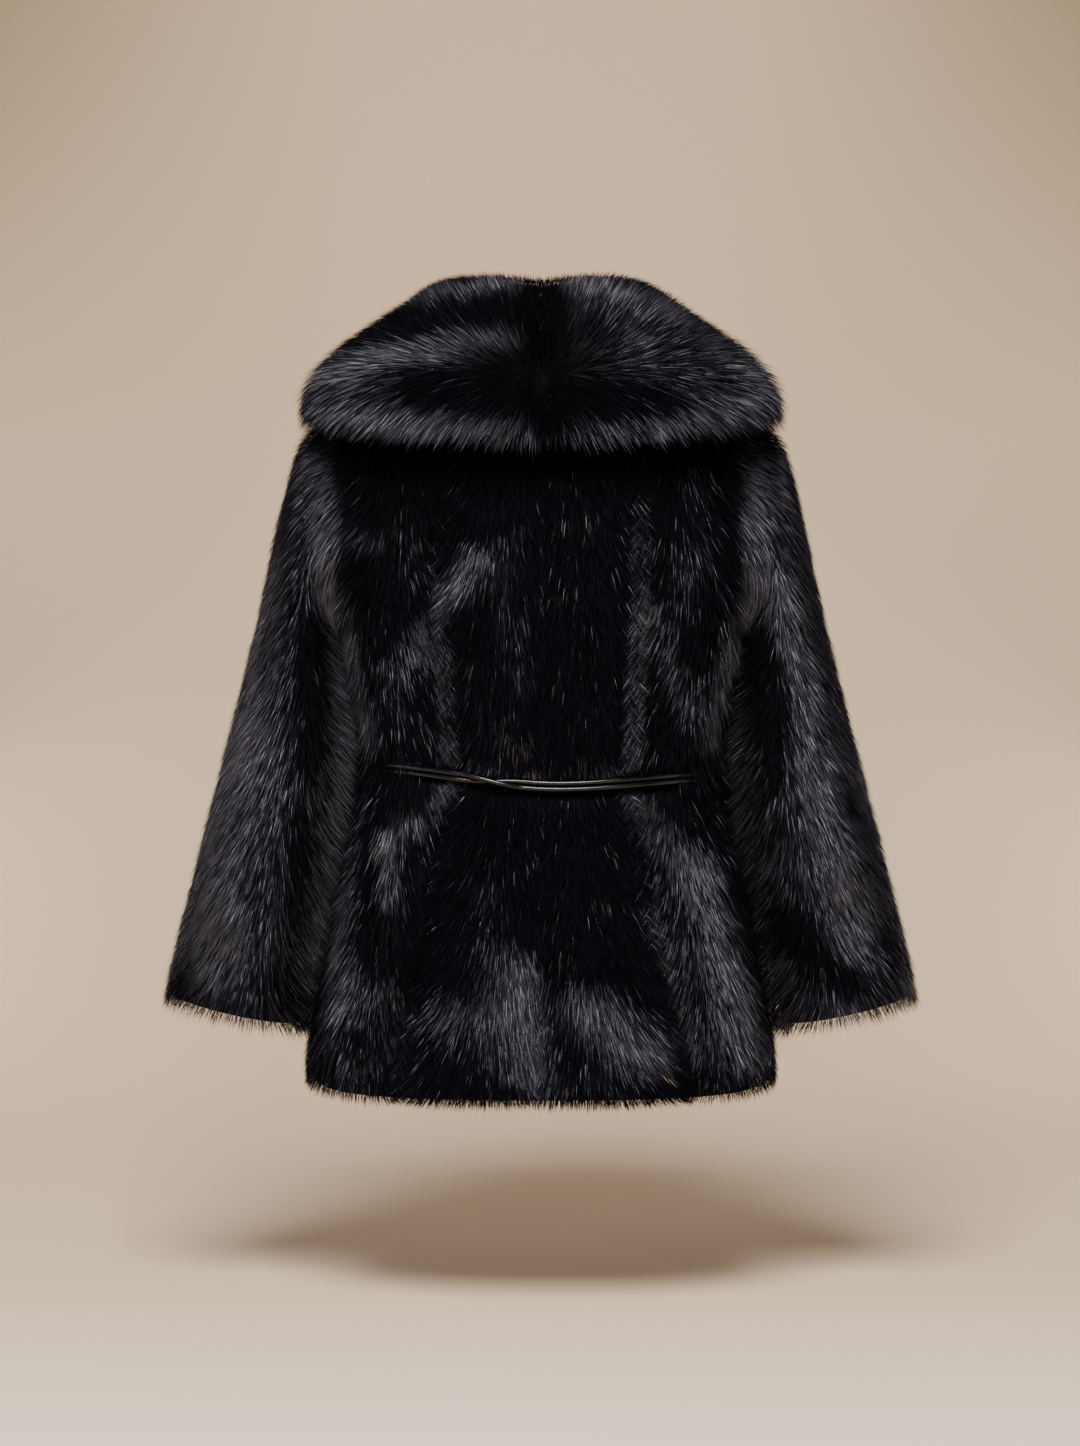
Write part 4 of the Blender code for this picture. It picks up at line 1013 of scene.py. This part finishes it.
    def rotation(self):
        """The way each strand points: along the comb, swayed, lifted, drawn into locks and rolled."""
        normal = self.named("outward", "FLOAT_VECTOR")
        swept = self.sway(SWIRL_SCALE, self.given["Swirl"])
        swept = self.vector("ADD", swept, self.sway(TANGLE_SCALE, self.given["Tangle"]))
        swept = self.vector("ADD", swept, self.sway(HAIR_SCALE, self.given["Tangle"], 0.0))
        upright = self.vector("MULTIPLY", normal, self.vector("DOT_PRODUCT", swept, normal, "Value"))
        level = self.vector("SUBTRACT", swept, upright)
        level = self.vector("ADD", self.named("comb", "FLOAT_VECTOR"), level)
        level = self.vector("NORMALIZE", level, (0, 0, 0))
        lift = self.times(self.waves(LIFT_SCALE), self.given["Lift waves"])
        lift = self.plus(self.named("fur_lift"), self.plus(lift, self.chance(-LIFT_CHANCE, LIFT_CHANCE, 3)))
        way = self.scaled(level, self.scalar("COSINE", lift))
        way = self.vector("ADD", way, self.scaled(normal, self.scalar("SINE", lift)))
        locks = self.add("ShaderNodeTexVoronoi", "Position", Vector=self.place, Scale=LOCK_SCALE)
        drawn = self.scaled(self.vector("SUBTRACT", locks, self.place), self.given["Clump"])
        inputs = {0: self.vector("ADD", way, drawn), 1: normal}
        pointed = add_node(
            self.tree, "FunctionNodeAxesToRotation", inputs, primary_axis="Z", secondary_axis="X"
        ).outputs[0]
        roll = self.times(self.chance(-1.0, 1.0, 5), self.given["Roll"])
        inputs = {0: pointed, 1: self.add("ShaderNodeCombineXYZ", Z=roll)}
        rolled = add_node(self.tree, "FunctionNodeRotateRotation", inputs, rotation_space="LOCAL")
        return rolled.outputs[0]

    def size(self):
        reach = self.times(self.named("fur_length"), self.chance(*STRAND_LENGTHS, 7))
        width = self.times(self.given["Width"], self.chance(*STRAND_WIDTHS, 8))
        return self.add("ShaderNodeCombineXYZ", X=reach, Y=width, Z=reach)


def grow_fur(panel, fur_tree, count, seed):
    """The fur of a panel as one mesh of about this many strands."""
    bed = panel.bed()
    density = [spot.value for spot in bed.data.attributes["fur_density"].data]
    area = sum(p.area * sum(density[v] for v in p.vertices) / len(p.vertices) for p in bed.data.polygons)
    modifier = bed.modifiers.new("fur", "NODES")
    modifier.node_group = fur_tree.tree
    for name, value in {**FUR_INPUTS, "Strands": count / area, "Seed": seed}.items():
        modifier[fur_tree.sockets[name]] = value
    bpy.context.view_layer.update()
    evaluated = bed.evaluated_get(bpy.context.evaluated_depsgraph_get())
    mesh = bpy.data.meshes.new_from_object(evaluated)
    bed.modifiers.remove(modifier)
    bpy.data.objects.remove(bed)
    mesh.name = f"{panel.name}_fur"
    return place_object(mesh.name, mesh)


def combed(down, across, lean):
    """The way the fur lies: down the cloth, leaning across by this many degrees."""
    angle = math.radians(lean)
    return (down * math.cos(angle) + across * math.sin(angle)).normalized()


def belt_fur(level, turn):
    """(length, lift, density) shares of the fur, which the belt presses down and which hides it at the side."""
    away = level - BELT_LEVEL
    covered = smooth((abs(math.sin(math.radians(turn))) - BELT_HIDDEN[1 if turn > 0 else -1]) / 0.04)
    length, lift, density = 1.0, 1.0, 1.0
    start, reach = BELT_TIPS
    if 0 < away < 0.030:
        length = 0.30 + 0.70 * smooth((away - start) / reach)
        lift = 1.0 + 0.9 * (1 - smooth((away - 0.006) / 0.024))
    if abs(away) < 0.007:  # under the cords
        density, lift = 0.15, 0.3
    elif away <= 0:
        lift = 0.7 + 0.3 * smooth((-away - 0.006) / 0.02)
    over = 1 - smooth((away - 0.006) / 0.020) if away > 0 else 0.0
    pressed, hanging = (length, lift, density), (1 + 0.60 * over, 1 + 1.0 * over, 1 + 1.2 * over)
    return [low + (high - low) * covered for low, high in zip(pressed, hanging)]


def body_edges(kind, level):
    """The turns at which a body panel starts and ends at this level."""
    if kind == "back":
        return 0.0, back_seam(level)
    if kind == "side":
        return back_seam(level), side_seam(level, BACK)
    return side_seam(level, FRONT), front_edge(level)


def body_panel(name, kind, side):
    face, steps, leans = BODY_PANELS[kind]
    panel = Panel(name, PANEL_PAINTED_SHADE[kind], BODY_SHEEN_AND_SHADE)
    for row_level in fine_levels():
        start, end = body_edges(kind, row_level)
        seam = end if face == BACK else start
        spots = []
        for k in range(steps + 1):
            turn = start + (end - start) * (k / steps)
            level = trimmed(row_level, turn)
            at_seam = kind != "back" and k == (steps if face == BACK else 0)
            at_armhole = at_seam and ARMHOLE_FOOT - SNAP <= level <= ARMHOLE_TOP + SNAP
            inner = body_inner(level, side * turn, armhole_normal(level, side, face) if at_armhole else None)
            below = body_point(max(level - 0.004, BODY_FOOT), side * turn, groove=False)
            above = body_point(min(level + 0.004, BODY_TOP), side * turn, groove=False)
            beyond = body_point(level, side * (turn + 1), groove=False)
            before = body_point(level, side * (turn - 1), groove=False)
            lean = between(k / steps, leans)
            comb = combed((below - above).normalized(), (beyond - before).normalized(), lean)
            length, lift, density = belt_fur(level, side * turn)
            beside_sleeve = smooth(1 - abs(seam - turn) / BODY_BESIDE) * (0 if kind == "back" else 1)
            beside_sleeve *= smooth((level - BESIDE_FOOT) / BESIDE_FADE)
            hem = smooth((HEM_LEVEL - level) / HEM_REACH)
            length *= BODY_FUR * (1 + SEAM_FUR * beside_sleeve) * (1 - HEM_FUR * hem)
            lift = math.radians(BODY_LIFT * lift + SEAM_LIFT * beside_sleeve)
            density *= 1 + EDGE_DENSITY * hem
            depth = 1 - SEAM_DEPTH * beside_sleeve
            spots.append((body_point(level, side * turn), inner, comb, length, lift, density, depth))
        panel.add_row(spots)
    return panel


def sleeve_panel(name, side):
    panel = Panel(name, PANEL_PAINTED_SHADE["sleeve"], SLEEVE_SHEEN_AND_SHADE, tubular=True)
    rows, columns = SLEEVE_GRID
    for r in range(rows + 1):
        share = SLEEVE_END * (r / rows) ** 1.1
        cuff = smooth((share - CUFF_SHARE) / CUFF_REACH)
        spots = []
        for c in range(columns):
            angle = 360.0 * c / columns
            point = set_in_point(side, share, angle)
            if r == 0:
                point += Vector((side * SEAM_GAP, 0, 0))
            level = ARMHOLE_MIDDLE + ARMHOLE_HALF * math.cos(math.radians(angle))
            seam = armhole_normal(level, side, BACK if angle < 180 else FRONT)
            own = sleeve_normal(side, share, angle)
            normal = seam.lerp(own, smooth(share / 0.10)).normalized()
            before, after = max(share - 0.01, 0), min(share + 0.01, 1)
            down = set_in_point(side, after, angle) - set_in_point(side, before, angle)
            round_it = set_in_point(side, share, angle + 2) - set_in_point(side, share, angle - 2)
            hanging = Vector((side * 0.15, 0, -1))
            hanging -= own * hanging.dot(own)
            down = (down.normalized() * 0.5 + hanging).normalized()
            round_it = (round_it - down * round_it.dot(down)).normalized()
            turn = min(angle, 360 - angle)
            lean = between(turn, SLEEVE_LEANS) * (1 if angle <= 180 else -1)
            beside_body = smooth((turn - SLEEVE_BESIDE[0]) / SLEEVE_BESIDE[1])
            length = SLEEVE_FUR * (1 + SEAM_FUR * beside_body) * (1 - CUFF_FUR * cuff)
            lift = math.radians((SLEEVE_LIFT + SEAM_LIFT * beside_body) * (1 - CUFF_LIFT * cuff))
            depth = 1 - SEAM_DEPTH * beside_body * smooth((0.85 - share) / 0.2)
            comb = combed(down, round_it, lean)
            spots.append((point, point - WALL * normal, comb, length, lift, 1 + EDGE_DENSITY * cuff, depth))
        panel.add_row(spots)
    return panel


def collar_fur(point, side, out, round_it, share, way):
    """(comb, length, lift) of the collar's fur, which fans out from the centre back and hangs at the edge."""
    normal = out.cross(round_it).normalized()
    above = point.z - FAN_LEVEL
    above += FAN_RISE * smooth(above / 0.03) - FAN_BAND * math.tanh(above / FAN_BAND)
    aside = (abs(point.x) + FAN_SPREAD * smooth(abs(point.x) / 0.012)) * (0.72 if above > 0 else 1.0)
    fan = Vector((side * aside, 0, above)).normalized()
    on_back = smooth((point.y + 0.03) / 0.09) * smooth((way - ROLL_SHARE) / 0.12)
    lapel = out + Vector((0, 0, -0.35)) * smooth((share - 0.4) / 0.2)
    lapel = (lapel - normal * lapel.dot(normal)).normalized()
    aslant = normal.cross(lapel)
    turned = math.atan2(fan.dot(aslant), fan.dot(lapel)) * on_back
    lying = lapel * math.cos(turned) + aslant * math.sin(turned)
    shoulder = smooth((share - 0.24) / 0.08) * smooth((0.58 - share) / 0.1)
    falls = smooth((way - FALL_SHARE + 0.12 * shoulder) / FALL_FADE)
    hanging = (lying * 0.5 + Vector((0, 0, -1))).normalized()
    free = smooth((way - FREE_SHARE) / FREE_FADE)
    hanging = (hanging - normal * hanging.dot(normal) * (1 - free)).normalized()
    comb = (lying * (1 - falls) + hanging * falls).normalized()
    full = smooth((way - ROLL_SHARE) / 0.26)
    length = STAND_FUR + (COLLAR_FUR - 0.004 * (1 - falls) - STAND_FUR) * full
    rise = ROOT_DEPTH * collar_wall(share, way) + TIPS_OUT - 0.002 * shoulder
    lift = math.asin(min(rise / length, 0.6))
    standing = smooth(1 - abs(point.x) / STANDING_REACH) * on_back * (1 - falls)
    return comb, length * (1 - STANDING_SHORTER * standing), lift + math.radians(STANDING_LIFT) * standing


def collar_panel(name, side, hand):
    """The fur hangs over the edge of the backing, which ends two steps before the solid does."""
    face, under, shares = collar_faces(side, hand)
    last_row, last_column = len(face) - 1, len(face[0]) - 1
    panel = Panel(name, PANEL_PAINTED_SHADE["collar"], COLLAR_SHEEN_AND_SHADE)
    for r in range(last_row - 1):
        spots = []
        for c in range(last_column - 1):
            out = (face[r + 1][c] - face[max(r - 1, 0)][c]).normalized()
            round_it = (face[r][c + 1] - face[r][max(c - 1, 0)]).normalized()
            fur = collar_fur(face[r][c], side, out, round_it, shares[c], r / last_row)
            spots.append((face[r][c], under[r][c], *fur, 1.0, 1.0))
        panel.add_row(spots)
    return panel


# ---------------------------------------------------------------- the belt
def belt_line(upper, steps=240):
    """One cord of the belt, from the knot round the waist and back. The upper one crosses over the other."""
    points = []
    for k in range(steps + 1):
        turn = -BELT_END + 2 * BELT_END * k / steps
        floor = max(body_point(BELT_LEVEL + up, turn).xy.length for up in (-GROOVE_FLAT, GROOVE_FLAT))
        way = smooth(0.5 + (turn - CROSS_TURN) / CROSS_WIDTH)
        apart = (CORD_RADIUS + SEAM_GAP) * (2 * way - 1)
        z = body_point(BELT_LEVEL, turn).z
        out = CORD_RADIUS + CORD_CLEAR
        if upper:
            z += apart
            out += math.sqrt(max(0.0, (2 * CORD_RADIUS + 2 * SEAM_GAP) ** 2 - (1.9 * apart) ** 2))
        else:
            z -= apart
        angle = math.radians(turn)
        points.append(Vector(((floor + out) * math.sin(angle), (floor + out) * math.cos(angle), z)))
    return points


def knot_line(steps=90):
    """A trefoil drawn tight in the size of the knot."""
    centre = body_point(BELT_LEVEL, 180.0)
    points = []
    for k in range(steps):
        t = 2 * math.pi * k / steps
        x = (math.sin(t) + 2 * math.sin(2 * t)) / 3 * (KNOT_SIZE[0] - CORD_RADIUS)
        z = (math.cos(t) - 2 * math.cos(2 * t)) / 3 * (KNOT_SIZE[2] - CORD_RADIUS)
        y = -math.sin(3 * t) * (KNOT_SIZE[1] - CORD_RADIUS) * 0.9
        points.append(centre + Vector((x, y - KNOT_SIZE[1] - CORD_CLEAR, z)))
    return points


def cord(name, points, finish, closed=False, sides=14):
    """A round cord along these points, with closed ends, or joined into a ring."""
    count = len(points)
    verts, faces = [], []
    side = Vector((0, 0, 1))
    for k, point in enumerate(points):
        after = points[(k + 1) % count] if closed else points[min(k + 1, count - 1)]
        before = points[k - 1] if closed else points[max(k - 1, 0)]
        ahead = (after - before).normalized()
        side = (side - ahead * side.dot(ahead)).normalized()
        other = ahead.cross(side)
        for s in range(sides):
            angle = 2 * math.pi * s / sides
            verts.append(point + (side * math.cos(angle) + other * math.sin(angle)) * CORD_RADIUS)
    for k in range(count if closed else count - 1):
        a, b = k * sides, (k + 1) % count * sides
        faces += [(a + s, a + (s + 1) % sides, b + (s + 1) % sides, b + s) for s in range(sides)]
    if not closed:
        faces += [tuple(range(sides)), tuple((count - 1) * sides + s for s in range(sides))]
    return mesh_object(name, verts, faces, [finish])


# ---------------------------------------------------------------- floor, light and camera
FLOOR_LEVEL = -0.95
FLOOR_NEAR, FLOOR_FAR, FLOOR_HALF = 3.6, -1.7, 6.0  # from the camera's side to where the paper curves up
PAPER_RADIUS, PAPER_HEIGHT, PAPER_STEP = 1.6, 6.0, 5  # the curve, in steps of so many degrees
PAPER_COLOUR_AND_LIGHT = (  # the paper's colour with painted light, from the camera's side to the back: lightest near the camera, darker on the floor behind the coat
    (0.0, (0.86, 0.745, 0.61)),
    (0.267, (0.66, 0.505, 0.365)),
    (0.667, (0.72, 0.555, 0.39)),
    (1.0, (0.78, 0.600, 0.415)),
)
CORNER_PAINTED_SHADE = (0.45, 0.43, 0.38)  # painted shade in the upper corners of the paper
WARM_WHITE = (1.0, 0.97, 0.94)
LIGHTS = {  # name: place, what it points at, size and watts
    "key": ((0.2, 2.9, 2.3), (0, 0, -0.45), (1.8, 1.5), 360),
    "left": ((2.6, 1.3, 0.4), (0, 0, -0.5), (0.9, 1.8), 15),
    "right": ((-2.6, 1.3, 0.4), (0, 0, -0.5), (0.9, 1.8), 10),
    "front_left": ((1.7, -2.5, -0.2), (0, -0.1, -0.3), (0.8, 1.2), 24),
    "front_right": ((-1.7, -2.5, -0.2), (0, -0.1, -0.3), (0.8, 1.2), 24),
}
WORLD_COLOUR, WORLD_STRENGTH = (0.95, 0.87, 0.78, 1), 0.08
CAMERA_PLACE = (0.001, 3.2, -0.378)
PHOTO_ROWS, ROWS_AWAY = 1446, 3200  # the photo's rows, and how many of them the camera is away


def paper_material():
    """Warm studio paper with painted light, lighter near the camera, and with painted shade in its upper
    corners.
    """
    finish, tree, shader, place = new_material("studio_paper", Roughness=0.9, Specular_IOR_Level=0.1)
    x, depth, height = add_node(tree, "ShaderNodeSeparateXYZ", {0: place}).outputs
    paper = ramp(tree, spread(tree, depth, From_Min=1.2, From_Max=-3.3), *PAPER_COLOUR_AND_LIGHT)
    aside = spread(tree, scalar(tree, "ABSOLUTE", x), From_Min=0.4, From_Max=1.2)
    high = spread(tree, height, From_Min=0.2, From_Max=1.2)
    corner = ramp(tree, scalar(tree, "MULTIPLY", aside, high), (0.0, (1, 1, 1)), (1.0, CORNER_PAINTED_SHADE))
    tree.links.new(multiplied(tree, paper, corner), shader.inputs["Base Color"])
    return finish


def build_stage():
    profile = [(FLOOR_NEAR, FLOOR_LEVEL), (0.8, FLOOR_LEVEL), (FLOOR_FAR, FLOOR_LEVEL)]
    for degrees in range(PAPER_STEP, 91, PAPER_STEP):
        angle = math.radians(degrees)
        rise = PAPER_RADIUS * (1 - math.cos(angle))
        profile.append((FLOOR_FAR - PAPER_RADIUS * math.sin(angle), FLOOR_LEVEL + rise))
    profile.append((FLOOR_FAR - PAPER_RADIUS, FLOOR_LEVEL + PAPER_HEIGHT))
    verts = [Vector((x, y, z)) for y, z in profile for x in (-FLOOR_HALF, FLOOR_HALF)]
    faces = [(2 * k, 2 * k + 1, 2 * k + 3, 2 * k + 2) for k in range(len(profile) - 1)]
    mesh_object("studio_floor", verts, faces, [paper_material()])


def build_lights():
    for name, (place, target, size, watts) in LIGHTS.items():
        data = bpy.data.lights.new(f"light_{name}", "AREA")
        data.shape = "RECTANGLE"
        data.size, data.size_y = size
        data.energy = watts
        data.color = WARM_WHITE
        light = place_object(data.name, data)
        light.location = place
        light.rotation_euler = (Vector(target) - Vector(place)).to_track_quat("-Z", "Y").to_euler()
    world = bpy.data.worlds.new("studio")
    world.use_nodes = True
    background = world.node_tree.nodes["Background"]
    background.inputs["Color"].default_value = WORLD_COLOUR
    background.inputs["Strength"].default_value = WORLD_STRENGTH
    bpy.context.scene.world = world


def build_camera():
    """Level and straight behind the coat, as in the photo."""
    data = bpy.data.cameras.new("camera")
    data.sensor_fit = "VERTICAL"
    data.sensor_height = 24.0
    data.lens = data.sensor_height * ROWS_AWAY / PHOTO_ROWS
    data.clip_end = 50
    camera = place_object("camera", data)
    camera.location = CAMERA_PLACE
    camera.rotation_euler = (math.radians(90), 0, math.radians(180))
    bpy.context.scene.camera = camera


# ---------------------------------------------------------------- the coat
def build_fur_pieces():
    """The backing shell and the fur of each panel."""
    backing, lining = backing_material(), lining_material()
    strand = strand_object()
    fur_tree = FurTree(strand, fur_materials())
    seed = 10
    for kind, count in STRANDS.items():
        for hand, side in SIDES.items():
            seed += 1
            name = f"{kind}_{hand}_backing"
            if kind in BODY_PANELS:
                panel = body_panel(name, kind, side)
            else:
                panel = sleeve_panel(name, side) if kind == "sleeve" else collar_panel(name, side, hand)
            shell = panel.shell([backing, backing if kind == "collar" else lining])
            fur = grow_fur(panel, fur_tree, count, seed)
            for piece in (shell, fur):
                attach(piece, "root")
            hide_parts(f"{kind}_{hand}")
    bpy.data.objects.remove(strand)


def build_belt():
    leather = leather_material()
    cords = {
        "belt_upper": cord("belt_upper_cord", belt_line(True), leather),
        "belt_lower": cord("belt_lower_cord", belt_line(False), leather),
        "belt_knot": cord("belt_knot_cord", knot_line(), leather, closed=True),
    }
    for node, piece in cords.items():
        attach(piece, "root")
        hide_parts(node)


build_camera()
build_stage()
build_lights()
build_fur_pieces()
build_belt()
